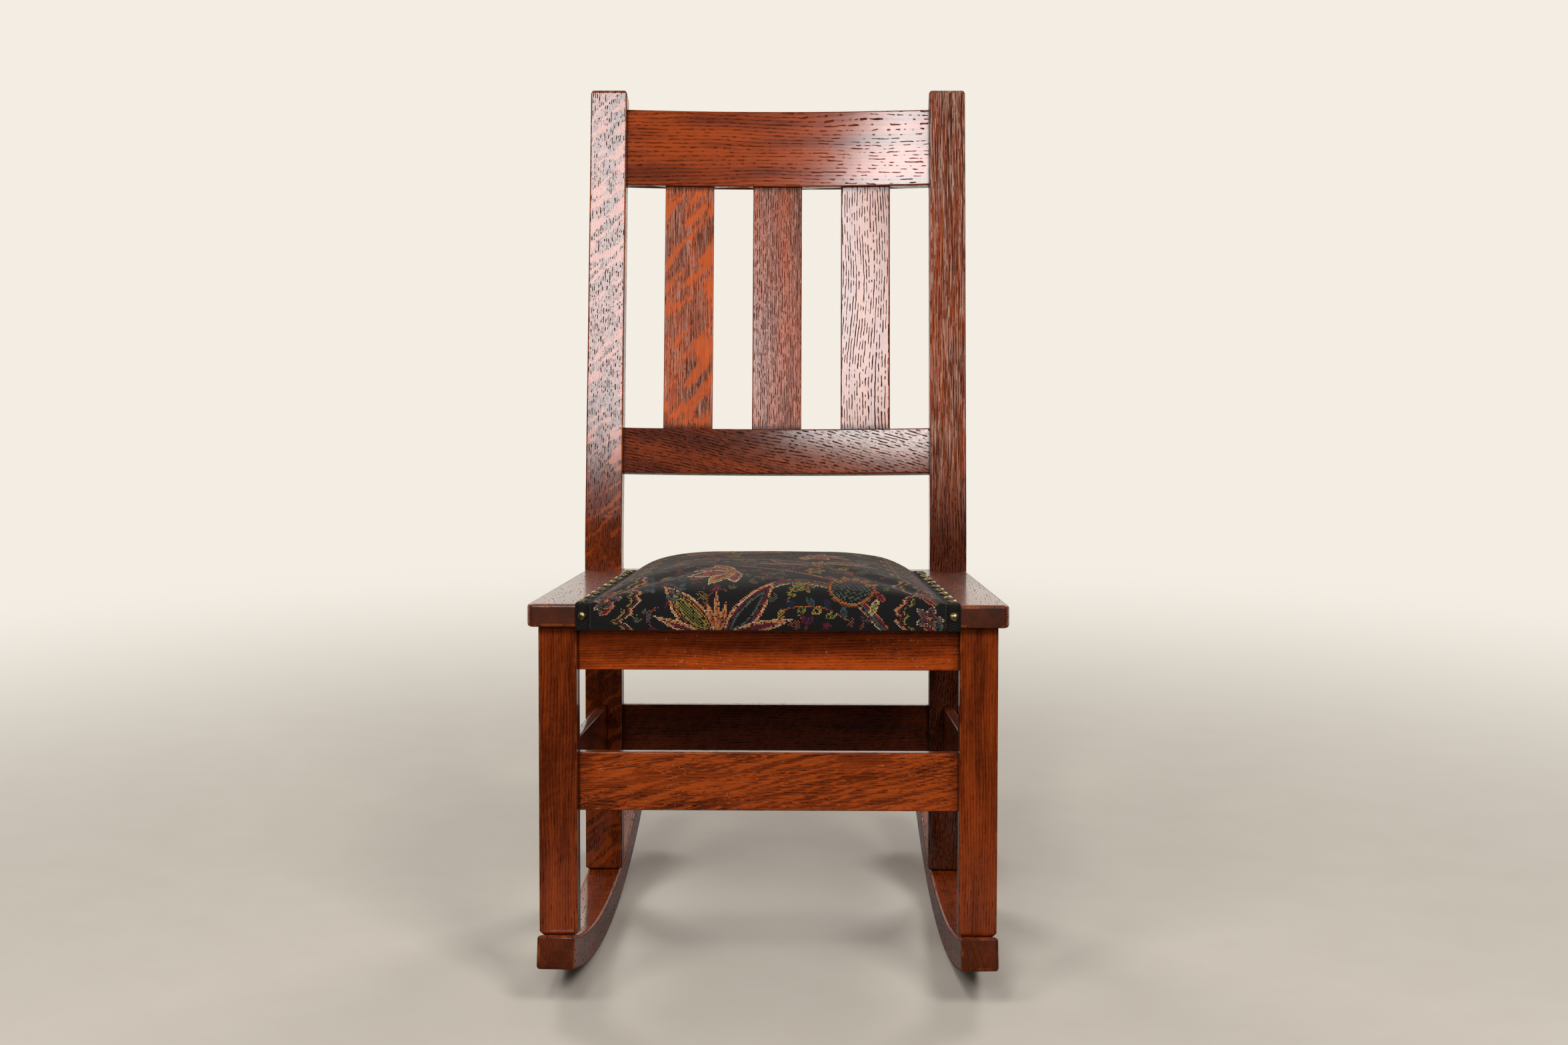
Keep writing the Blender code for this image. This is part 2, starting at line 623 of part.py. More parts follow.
def make_gimp(name, side):
    """Black braid along the pad's side edge, bent down over the seat's front edge."""
    rear = (PAD_REAR - SEAT_FRONT) / math.cos(PAD_TAPER)
    under = SEAT_HEIGHT + FIT_GAP
    path = [(rear, under), (GIMP_BEND - GIMP_FRONT_CLEAR, under), (-GIMP_FRONT_CLEAR, under - GIMP_BEND),
            (-GIMP_FRONT_CLEAR, SEAT_BOTTOM)]
    shape = bmesh.new()
    bmesh.ops.create_grid(shape, x_segments=1, y_segments=len(path) - 1, size=1)
    for knot in shape.verts:
        y, z = path[round((1 - knot.co.y) / 2 * (len(path) - 1))]
        knot.co = (knot.co.x * GIMP_WIDTH / 2, y, z)
    face_up(shape)
    place = (side * TRIM_X, SEAT_FRONT, 0)
    gimp = add_part(name, to_mesh(name, shape), BRAID, chair_frame, place, (0, 0, side * PAD_TAPER))
    thicken(gimp, GIMP_THICKNESS, 1)
    return gimp


def make_nails(names, place, turn, hosts):
    """Domed nails in a row along the braid, with their holes through it into the plank."""
    mesh = nail_mesh("brass_nail")
    step = Euler(turn).to_matrix() @ Vector((0, NAIL_PITCH, 0))
    for number, name in enumerate(names):
        add_part(name, mesh, BRASS, chair_frame, place + number * step, turn)
    holes = add_cutter(names[0] + "_holes", nail_hole_mesh("nail_hole"), chair_frame, place, turn)
    row = holes.modifiers.new("row", "ARRAY")
    row.count = len(names)
    row.use_relative_offset = False
    row.use_constant_offset = True
    row.constant_offset_displace = (0, NAIL_PITCH, 0)
    for host in hosts:
        cut(host, holes)


def make_trim(name, side, plank):
    """The braid on one side of the pad, its row of nails and the single nail on the front edge."""
    gimp = make_gimp(name + "_gimp", side)
    taper = side * PAD_TAPER
    length = (PAD_REAR - SEAT_FRONT) / math.cos(PAD_TAPER)
    count = 1 + int((length - NAIL_FIRST - NAIL_RADIUS) / NAIL_PITCH)
    head = SEAT_HEIGHT + GIMP_THICKNESS + 2 * FIT_GAP
    along = Vector((-math.sin(taper), math.cos(taper), 0))
    row_place = Vector((side * TRIM_X, SEAT_FRONT, head)) + along * NAIL_FIRST
    front_place = Vector((side * TRIM_X, SEAT_FRONT, SEAT_HEIGHT - SEAT_THICKNESS / 2))
    front_place -= along * (GIMP_FRONT_CLEAR + GIMP_THICKNESS + FIT_GAP)
    row_names = [f"{name}_nail_{number + 1}" for number in range(count)]
    make_nails(row_names, row_place, (0, 0, taper), (gimp, plank))
    make_nails([name + "_front_nail"], front_place, (math.pi / 2, 0, taper), (gimp, plank))


def make_screw(name, side, x, y, rocker, upright):
    """A countersunk screw that holds a rocker to the foot of a leg or post."""
    head = circle_height(ROCKER_RADIUS, y) + SCREW_SINK
    neck = -SCREW_HEAD_HEIGHT
    profile = [(0, 0), (SCREW_HEAD_RADIUS, 0), (SCREW_SHANK_RADIUS, neck)]
    profile += [(SCREW_SHANK_RADIUS, -SCREW_LENGTH), (0, -SCREW_LENGTH)]
    wide = SCREW_HEAD_RADIUS + FIT_GAP
    slim = SCREW_SHANK_RADIUS + FIT_GAP
    mouth = 2 * SCREW_SINK
    seat = neck - FIT_GAP
    deep = -SCREW_LENGTH - FIT_GAP
    hole_profile = [(0, mouth), (wide, mouth), (wide, seat), (slim, seat), (slim, deep), (0, deep)]
    place = (side * x, y, head)
    turn = (math.pi, 0, 0)
    add_part(name, turned_mesh(name, profile, SCREW_STEPS), STEEL, chair_frame, place, turn)
    hole = add_cutter(name + "_hole", turned_mesh(name + "_hole", hole_profile, SCREW_STEPS), chair_frame,
                      place, turn)
    cut(rocker, hole)
    cut(upright, hole)


def build_chair():
    rockers = [make_rocker(name + "_rocker", side) for name, side in SIDES]
    legs = [make_leg(name + "_front_leg", side) for name, side in SIDES]
    posts = [make_post(name + "_rear_post", side) for name, side in SIDES]
    planks = [make_plank(name + "_seat_plank", side) for name, side in SIDES]
    make_cross_rails(legs, posts)
    crest = make_back_rail("crest_rail", CREST_TOP, CREST_HEIGHT, posts)
    lower = make_back_rail("lower_back_rail", LOWER_RAIL_TOP, LOWER_RAIL_HEIGHT, posts)
    for name, step in (("left", -1), ("center", 0), ("right", 1)):
        make_slat(name + "_back_slat", step * SLAT_PITCH, (crest, lower))
    make_cross_board("front_seat_board", SEAT_FRONT)
    make_cross_board("rear_seat_board", SEAT_REAR - CROSS_BOARD_WIDTH)
    front_rail_face = LEG_REAR
    back_rail_face = POST_FRONT + BACK_RAIL_SETBACK
    for (name, side), rocker, leg, post, plank in zip(SIDES, rockers, legs, posts, planks):
        make_side_rails(name, side, leg, post)
        make_corner_block(name + "_front_block", side, front_rail_face, LEG_REAR, LEG_INNER_X, 1)
        make_corner_block(name + "_rear_block", side, back_rail_face, POST_FRONT, POST_INNER_X, -1)
        make_screw(name + "_front_rocker_screw", side, side_centre(LEG_MIDDLE), LEG_MIDDLE, rocker, leg)
        make_screw(name + "_rear_rocker_screw", side, side_centre(POST_MIDDLE), POST_MIDDLE, rocker, post)
        make_trim(name, side, plank)
    make_stuffing(make_webbing())
    make_cover()


build_chair()
bpy.context.view_layer.update()
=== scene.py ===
"""Looks of an armless sewing rocking chair in dark oak with a padded tapestry seat."""
import math
import random

import bmesh
import bpy
import numpy as np
from mathutils import Euler, Matrix, Vector


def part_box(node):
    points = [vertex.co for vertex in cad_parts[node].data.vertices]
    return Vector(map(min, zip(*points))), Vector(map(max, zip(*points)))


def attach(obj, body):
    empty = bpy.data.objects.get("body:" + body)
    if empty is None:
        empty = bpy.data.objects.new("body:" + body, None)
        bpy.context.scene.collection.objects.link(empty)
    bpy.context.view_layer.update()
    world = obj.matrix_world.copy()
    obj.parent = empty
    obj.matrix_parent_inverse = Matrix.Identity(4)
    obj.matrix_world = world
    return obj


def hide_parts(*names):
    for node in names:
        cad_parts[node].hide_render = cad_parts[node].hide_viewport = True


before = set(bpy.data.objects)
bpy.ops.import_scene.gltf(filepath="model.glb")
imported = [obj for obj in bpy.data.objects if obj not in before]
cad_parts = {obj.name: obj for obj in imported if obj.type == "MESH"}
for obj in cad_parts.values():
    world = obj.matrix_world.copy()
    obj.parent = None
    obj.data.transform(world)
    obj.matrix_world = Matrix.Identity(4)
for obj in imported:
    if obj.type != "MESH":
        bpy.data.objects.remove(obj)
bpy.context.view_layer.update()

# The chair's own sizes, in metres, as its solids have them.
FIT_GAP = 0.0003
CONTACT_Y = -0.0285
TILT = math.radians(4.7)
RAKE = math.radians(12.0)
SEAT_HEIGHT = 0.3424
SEAT_BOTTOM = 0.3218
SEAT_FRONT = -0.2725
POST_FRONT = 0.0755
BEND_RADIUS = 0.250
BEND_TANGENT = BEND_RADIUS * math.tan(RAKE / 2)
PAD_REAR = 0.0555
PAD_FRONT_HALF = 0.1697
PAD_POST_HALF = 0.1451
PAD_TAPER = math.atan2(PAD_FRONT_HALF - PAD_POST_HALF, POST_FRONT - SEAT_FRONT)
GIMP_WIDTH = 0.0125
GIMP_THICKNESS = 0.0012
GIMP_FRONT_CLEAR = FIT_GAP + GIMP_WIDTH / 2 * math.tan(PAD_TAPER)
TRIM_X = PAD_FRONT_HALF - GIMP_WIDTH / 2
NAIL_RADIUS = 0.0043
NAIL_DOME = 0.0028
NAIL_PITCH = 0.0360
NAIL_FIRST = 0.0085
NAILS_PER_SIDE = 9

# Padded seat: crown and rolls of the cover, and the cells of its mesh.
PAD_CROWN = 0.0245
PAD_FRONT_HEIGHT = 0.0125
PAD_ROLL = 0.070
PAD_ROLL_POWER = 2.4
PAD_SIDE_POWER = 6.6
PAD_FRONT_BELLY = 0.0030
HEM_DROP = 0.0027
PAD_HEM = SEAT_BOTTOM - HEM_DROP
COVER_THICKNESS = 0.0012
PAD_COLUMNS = 63
PAD_TOP_ROWS = 67
PAD_WALL_ROWS = 7
PAD_ROWS = PAD_TOP_ROWS + PAD_WALL_ROWS
PAD_CELL = 0.00495
PAD_FINE_LEVELS = 2
STITCHES = 2 ** PAD_FINE_LEVELS
PAD_START = 0.90            # share of its height that the pad has before it swells
PAD_SWELL_LIMIT = 0.0050
PAD_PRESSURE = 4.0
PAD_FRAMES = 20
PAD_TUCK = 0.010
WEBBING_ROOM = 0.0045
PAD_FLOOR = SEAT_HEIGHT + WEBBING_ROOM
CORNER_PASSES = 8
CORNER_ROWS = 3.5
CLOTH_QUALITY = 6
CLOTH_STIFFNESS = 25
CLOTH_BENDING = 2

LEAN = Matrix.Translation((0, CONTACT_Y, 0)) @ Matrix.Rotation(-TILT, 4, "X")
BACK = (LEAN @ Matrix.Translation((0, POST_FRONT, SEAT_HEIGHT + BEND_TANGENT))
        @ Matrix.Rotation(-RAKE, 4, "X"))
MERGE = 0.00002
MILLIMETRE = 0.001
METRE = 1000                # millimetres
SIDES = (("left", -1), ("right", 1))

# Camera and lamps.
CAMERA_PLACE = (0.0581, -2.9097, 0.846)
CAMERA_DIP = 8.8173
CAMERA_PAN = 0.9527
CAMERA_TURN = (math.radians(90 - CAMERA_DIP), 0, math.radians(CAMERA_PAN))
CAMERA_LENS = 70.0
CAMERA_SENSOR = 36.0
BACKGROUND = (0.90, 0.85, 0.77, 1)
LAMPS = (
    ("glare_softbox", (-0.421, -2.57, 2.272), (0, 0.10, 0.60), (0.40, 0.94), 0.38, 27),
    ("front_softbox", (-0.06, -2.80, 1.25), (0, 0.0, 0.35), (0.30, 0.50), 0, 18),
    ("right_softbox", (1.15, -2.60, 2.20), (0, 0.0, 0.40), (0.8, 0.8), 0, 42),
    ("left_softbox", (-1.45, -2.50, 2.20), (0, 0.0, 0.40), (0.8, 0.8), 0, 24),
    ("rear_left_softbox", (-1.40, 2.60, 2.40), (0, 0.1, 0.45), (1.0, 1.0), 0, 34),
    ("rear_right_softbox", (1.40, 2.60, 2.40), (0, 0.1, 0.45), (1.0, 1.0), 0, 34),
)
UNMIRRORED = ("front_softbox",)     # a fill light that leaves no glare

# Colours of the oak, as linear light.
OAK_DARK = (0.060, 0.0078, 0.0008, 1)
OAK_LIGHT = (0.215, 0.0315, 0.0032, 1)
OAK_FLAKE = (0.440, 0.074, 0.0095, 1)
OAK_PORE = (0.0140, 0.0042, 0.0020, 1)
OAK_END = (0.028, 0.0080, 0.0031, 1)
# Grime at the joints, which also serves as painted shade in the inside corners.
OAK_GRIME_AND_SHADE = (0.022, 0.0075, 0.0035, 1)
OAK_WORN = (0.330, 0.075, 0.0120, 1)
# Pale streaks of painted highlight: glare caught on the pore walls, put into the colour.
OAK_PAINTED_GLINT = (0.350, 0.190, 0.135, 1)
OAK_SPECK = (0.360, 0.270, 0.230, 1)

# Threads of the tapestry, as linear light.
THREADS = {
    "ground": (0.0060, 0.0056, 0.0058),
    "orange": (0.560, 0.215, 0.075),
    "cream": (0.720, 0.510, 0.320),
    "gold": (0.430, 0.235, 0.045),
    "rust": (0.380, 0.070, 0.020),
    "burgundy": (0.150, 0.012, 0.030),
    "olive": (0.235, 0.205, 0.040),
    "sage": (0.100, 0.110, 0.055),
    "teal": (0.055, 0.085, 0.085),
    "navy": (0.016, 0.022, 0.050),
    "mauve": (0.180, 0.095, 0.085),
}


class Graph:
    """A node tree and short ways to add nodes to it."""

    def __init__(self, tree):
        self.tree = tree

    def feed(self, socket, value):
        if isinstance(value, bpy.types.NodeSocket):
            self.tree.links.new(value, socket)
        else:
            socket.default_value = value

    def dress(self, node, values):
        for label, value in values.items():
            self.feed(node.inputs[label], value)

    def add(self, kind, inputs=None, **settings):
        node = self.tree.nodes.new(kind)
        for name, value in settings.items():
            setattr(node, name, value)
        self.dress(node, inputs or {})
        return node

    def math(self, operation, *values):
        node = self.add("ShaderNodeMath", operation=operation)
        for socket, value in zip(node.inputs, values):
            self.feed(socket, value)
        return node.outputs[0]

    def plus(self, first, second):
        return self.math("ADD", first, second)

    def times(self, first, second):
        return self.math("MULTIPLY", first, second)

    def vector(self, operation, *values):
        node = self.add("ShaderNodeVectorMath", operation=operation)
        for socket, value in zip(node.inputs, values):
            self.feed(socket, value)
        return node.outputs[0]

    def stretch(self, point, scale):
        return self.vector("MULTIPLY", point, scale)

    def band(self, value, low, high):
        """0 below low and 1 above high, with a soft step between."""
        inputs = {"Value": value, "From Min": low, "From Max": high}
        return self.add("ShaderNodeMapRange", inputs, interpolation_type="SMOOTHSTEP").outputs[0]

    def span(self, value, low, high):
        """A value of 0 to 1 spread over low to high."""
        return self.add("ShaderNodeMapRange", {"Value": value, "To Min": low, "To Max": high}).outputs[0]

    def mix(self, share, first, second):
        node = self.add("ShaderNodeMix", {0: share, 6: first, 7: second}, data_type="RGBA")
        return node.outputs[2]

    def noise(self, point, detail=2.0, roughness=0.5, distortion=0.0):
        inputs = {"Vector": point, "Scale": 1.0, "Detail": detail, "Roughness": roughness,
                  "Distortion": distortion}
        return self.add("ShaderNodeTexNoise", inputs).outputs[0]

    def centred(self, value):
        return self.math("SUBTRACT", value, 0.5)

    def fold(self, value):
        """How far a value is from the middle of its whole step."""
        return self.math("ABSOLUTE", self.centred(self.math("FRACT", value)))

    def turn(self, point, angle):
        inputs = {"Vector": point, "Angle": angle}
        return self.add("ShaderNodeVectorRotate", inputs, rotation_type="Z_AXIS").outputs[0]

    def join(self, x, y, z):
        return self.add("ShaderNodeCombineXYZ", {"X": x, "Y": y, "Z": z}).outputs[0]

    def split(self, point):
        return self.add("ShaderNodeSeparateXYZ", {"Vector": point}).outputs

    def own_point(self):
        return self.add("ShaderNodeTexCoord").outputs["Object"]

    def laid(self, middle, turn, step):
        """Object coordinates from a middle, on turned axes and counted in steps."""
        inputs = {"Vector": self.own_point(), "Location": middle, "Rotation": turn, "Scale": (step,) * 3}
        return self.add("ShaderNodeMapping", inputs, vector_type="TEXTURE").outputs[0]

    def attribute(self, name, output="Fac"):
        return self.add("ShaderNodeAttribute", attribute_name=name).outputs[output]

    def bump(self, height, strength, depth):
        inputs = {"Strength": strength, "Distance": depth, "Height": height}
        return self.add("ShaderNodeBump", inputs).outputs[0]


def new_group(name, inputs, outputs):
    """An empty shader group with its sockets; returns the group, its graph and its inputs."""
    tree = bpy.data.node_groups.new(name, "ShaderNodeTree")
    for label, kind in inputs:
        tree.interface.new_socket(label, in_out="INPUT", socket_type="NodeSocket" + kind)
    for label, kind in outputs:
        tree.interface.new_socket(label, in_out="OUTPUT", socket_type="NodeSocket" + kind)
    graph = Graph(tree)
    return tree, graph, graph.add("NodeGroupInput").outputs


# How each cut of oak looks: what differs from a plain, fine-pored board. Lengths are in millimetres.
PLAIN_OAK = {
    "Turn": 0.0, "Pores": 0.45, "Pore Length": 8.0, "Pore Width": 0.8, "Pore Shade": 0.7,
    "Ring Pitch": 2.6, "Wander": 6.0, "Flakes": 0.20, "Flake Length": 16.0, "Flake Width": 5.0,
    "Flake Slant": 0.5, "Ribbons": 0.0, "Fray": 16.0, "Ripple": 0.4, "Streaks": 0.06, "Tone": 0.0,
    "Gain": 1.0, "Painted Low Shade": 0.0, "Specks": 0.0, "Roughness": 0.42, "Gloss": 1.0, "Grime And Shade": 2.5}
LEG_OAK = {"Flakes": 0.08, "Pores": 0.35, "Pore Length": 14.0, "Pore Shade": 0.45, "Streaks": 0.0}
ROCKER_OAK = {"Gain": 1.4, "Streaks": 0.0}
PLANK_OAK = {"Flakes": 0.1}
OAK_CUTS = {
    "left_rear_post": {
        "Flakes": 0.75, "Flake Length": 60.0, "Flake Width": 15.0, "Flake Slant": 0.70, "Ribbons": 1.0,
        "Fray": 8.0, "Pores": 0.6, "Pore Length": 6.0, "Pore Width": 0.9, "Ring Pitch": 2.1,
        "Ripple": 0.8, "Streaks": 0.10, "Gloss": 0.73, "Gain": 1.15, "Painted Low Shade": 0.30},
    "right_rear_post": {
        "Flakes": 0.0, "Pores": 0.75, "Pore Length": 12.0, "Pore Width": 0.9, "Wander": 3.0,
        "Streaks": 0.95, "Ripple": 0.4, "Gain": 1.3, "Painted Low Shade": 0.70},
    "left_back_slat": {
        "Flakes": 0.72, "Flake Length": 46.0, "Flake Width": 11.5, "Flake Slant": 0.85, "Pores": 0.4,
        "Fray": 20.0, "Ring Pitch": 1.8, "Streaks": 0.55, "Ripple": 0.7, "Gain": 1.7, "Grime And Shade": 7.0},
    "center_back_slat": {
        "Flakes": 0.08, "Pores": 0.85, "Wander": 3.0, "Ring Pitch": 1.8, "Tone": 0.15, "Streaks": 0.45,
        "Ripple": 0.8, "Gain": 1.6, "Grime And Shade": 7.0},
    "right_back_slat": {
        "Flakes": 0.0, "Pores": 0.95, "Pore Length": 10.0, "Pore Width": 0.9, "Pore Shade": 0.85,
        "Ring Pitch": 2.7, "Wander": 12.0, "Tone": 0.35, "Ripple": 0.2, "Gain": 1.35, "Grime And Shade": 7.0},
    "crest_rail": {
        "Flakes": 0.03, "Pores": 0.75, "Pore Length": 8.5, "Pore Width": 1.1, "Pore Shade": 0.5,
        "Ring Pitch": 3.8, "Wander": 8.0, "Streaks": 0.0, "Ripple": 0.06, "Gain": 1.6, "Grime And Shade": 2.0},
    "lower_back_rail": {
        "Turn": 0.24, "Flakes": 0.08, "Pores": 0.8, "Pore Length": 7.0, "Pore Width": 1.1,
        "Ring Pitch": 3.0, "Tone": -0.05, "Ripple": 0.9},
    # Painted light: the apron's Gain brightens it where the seat's overhang leaves it in shade.
    "front_seat_rail": {
        "Flakes": 0.10, "Pores": 0.35, "Pore Shade": 0.45, "Specks": 0.42, "Tone": 0.05, "Gain": 1.7,
        "Streaks": 0.0},
    "front_stretcher": {
        "Flakes": 0.75, "Flake Length": 60.0, "Flake Width": 2.4, "Flake Slant": 1.33, "Fray": 30.0,
        "Specks": 0.30, "Wander": 16.0, "Tone": 0.05, "Streaks": 0.03, "Gain": 0.92},
    # Painted shade: the back stretcher's Gain darkens it, as it lies in the seat's shadow.
    "back_stretcher": {"Gain": 0.42, "Streaks": 0.0},
    "left_front_leg": {**LEG_OAK, "Tone": -0.12},
    "right_front_leg": {**LEG_OAK, "Tone": -0.08},
    "left_rocker": ROCKER_OAK,
    "right_rocker": ROCKER_OAK,
    "left_seat_plank": PLANK_OAK,
    "right_seat_plank": PLANK_OAK,
}

# Noises of the oak: cycles per millimetre along, across and into the wood.
SWAY = (0.006, 0.02, 0.02)
FIBRE = (0.035, 1.7, 1.7)
STRAND = (0.018, 0.62, 0.62)
TONE = (0.007, 0.055, 0.055)
CLOUD = (0.03, 0.05, 0.05)
JITTER = (0.12, 0.35, 0.35)
GLINT_STREAK = (0.030, 1.15, 1.15)
RIPPLE = (0.22, 0.62, 0.62)
DUST = (0.28, 0.55, 0.55)
WEAR_PATCH = (0.05, 0.05, 0.05)

# Soft steps of the oak: where each starts and where it is full.
EARLY_WOOD = (0.34, 0.10)
PORE_EDGE = (0.62, 0.38)
FLAKE_EDGE = (0.47, 0.58)
OPEN_GRAIN = (0.55, 0.10)
GLINT_STREAK_EDGE = (0.46, 0.64)
RIPPLE_EDGE = (0.51, 0.61)
SPECK_EDGE = (0.17, 0.10)
SPECK_PATCH = (0.45, 0.65)
TONE_EDGE = (0.25, 0.75)
WEAR_EDGE = (0.47, 0.62)
# Painted shade: the rear posts are darkened below the seat, where the seat shades them.
PAINTED_LOW_SHADE_RUN = (50.0, -90.0)       # where a post grows darker towards its foot

# What a value of the oak becomes where a noise is lowest and where it is highest.
DASH_LIMITS = (0.66, 0.44)
DASH_EDGE = 0.05
RIBBON_WIDTHS = (0.38, -0.07)
FLAKE_FIBRE = (0.55, 1.30)
FLAKE_STRAND = (0.55, 1.45)
FIBRE_ROUGHNESS = (-0.07, 0.07)
FIBRE_RELIEF = (-0.025, 0.025)
FLAKE_RELIEF = (1.0, 0.3)
END_SHADE = (1.0, 0.55)
FIBRE_SHADE = 0.40
STRAND_SHADE = 0.55
EARLY_SHADE = -0.15

# How strongly one part of the oak's figure works on another.
OAK_SHIFT = (137.0, 71.0, 43.0)     # how far one seed is from the next in the figure
ROW_LEAN = 0.35
ROW_SWAY = 2.5
ROW_JITTER = 0.6
ROW_APART = 5.3
FLAKE_DEPTH = 0.04
RIBBON_BEND = 2.5
RIBBON_CLOUD = 0.9
FLAKE_RAGGED = 0.35
FLAKE_PORES = 0.12                  # share of the pores that show in a flake
FLAKE_COVER = 0.8
RIPPLE_COVER = 0.42
RIPPLE_DULL = 0.48
PORE_ROUGHNESS = 0.25
PORE_RELIEF = -0.30
GRIME_AND_SHADE_COVER = 0.85
GRIME_AND_SHADE_DULL = 0.6


def lay_pores(graph, given, grain, sway):
    """Rows of pores in short dashes, and the early wood that they lie in."""
    x, y, z = graph.split(grain)
    leaning = graph.plus(y, graph.times(z, ROW_LEAN))
    jitter = graph.noise(graph.stretch(grain, JITTER), detail=1.0)
    drift = graph.plus(graph.times(sway, ROW_SWAY), graph.times(jitter, ROW_JITTER))
    row = graph.plus(graph.math("DIVIDE", leaning, given["Ring Pitch"]), drift)
    from_row = graph.fold(row)
    off_row = graph.math("DIVIDE", graph.times(from_row, given["Ring Pitch"]), given["Pore Width"])
    dash_point = graph.join(graph.math("DIVIDE", x, given["Pore Length"]),
                            graph.times(graph.math("FLOOR", row), ROW_APART), 0.0)
    limit = graph.span(given["Pores"], *DASH_LIMITS)
    dash = graph.band(graph.noise(dash_point, detail=1.0), limit, graph.plus(limit, DASH_EDGE))
    return graph.times(graph.band(off_row, *PORE_EDGE), dash), graph.band(from_row, *EARLY_WOOD)


def lay_flakes(graph, given, point, fibre, strand, cloud):
    """Ray flakes that slant over the grain, in patches or in ribbons."""
    fray = graph.times(graph.centred(strand), given["Fray"])
    frayed = graph.vector("ADD", point, graph.join(fray, 0.0, 0.0))
    x, y, z = graph.split(graph.turn(frayed, given["Flake Slant"]))
    step = graph.math("DIVIDE", x, given["Flake Width"])
    place = graph.join(step, graph.math("DIVIDE", y, given["Flake Length"]), graph.times(z, FLAKE_DEPTH))
    field = graph.noise(place, detail=2.0, roughness=0.45, distortion=0.9)
    off_ribbon = graph.fold(graph.plus(step, graph.times(field, RIBBON_BEND)))
    ribbon = graph.math("SUBTRACT", graph.span(field, *RIBBON_WIDTHS), off_ribbon)
    ribbon = graph.plus(ribbon, graph.times(graph.centred(cloud), RIBBON_CLOUD))
    level = graph.plus(field, graph.times(ribbon, given["Ribbons"]))
    level = graph.plus(level, graph.times(graph.centred(fibre), FLAKE_RAGGED))
    flake = graph.times(graph.band(level, *FLAKE_EDGE), given["Flakes"])
    flake = graph.times(flake, graph.span(fibre, *FLAKE_FIBRE))
    return graph.times(flake, graph.span(strand, *FLAKE_STRAND))


def lay_specks(graph, given, point, cloud):
    """Small pale marks of dust, in patches."""
    spots = {"Vector": graph.stretch(point, DUST), "Scale": 1.0}
    dust = graph.add("ShaderNodeTexVoronoi", spots).outputs
    dusty = graph.math("LESS_THAN", graph.split(dust["Color"])[1], given["Specks"])
    speck = graph.times(graph.band(dust["Distance"], *SPECK_EDGE), dusty)
    return graph.times(speck, graph.band(cloud, *SPECK_PATCH))


def lay_grime_and_shade(graph, given, strand):
    """Dark grime, with painted shade, in the inside corner where a housed piece enters its mortise."""
    from_middle = graph.math("ABSOLUTE", graph.split(given["Point"])[0])
    from_end = graph.math("SUBTRACT", given["Half Length"], from_middle)
    from_end = graph.plus(from_end, graph.times(graph.centred(strand), given["Grime And Shade"]))
    return graph.times(graph.band(from_end, given["Grime And Shade"], 0.0), GRIME_AND_SHADE_COVER)


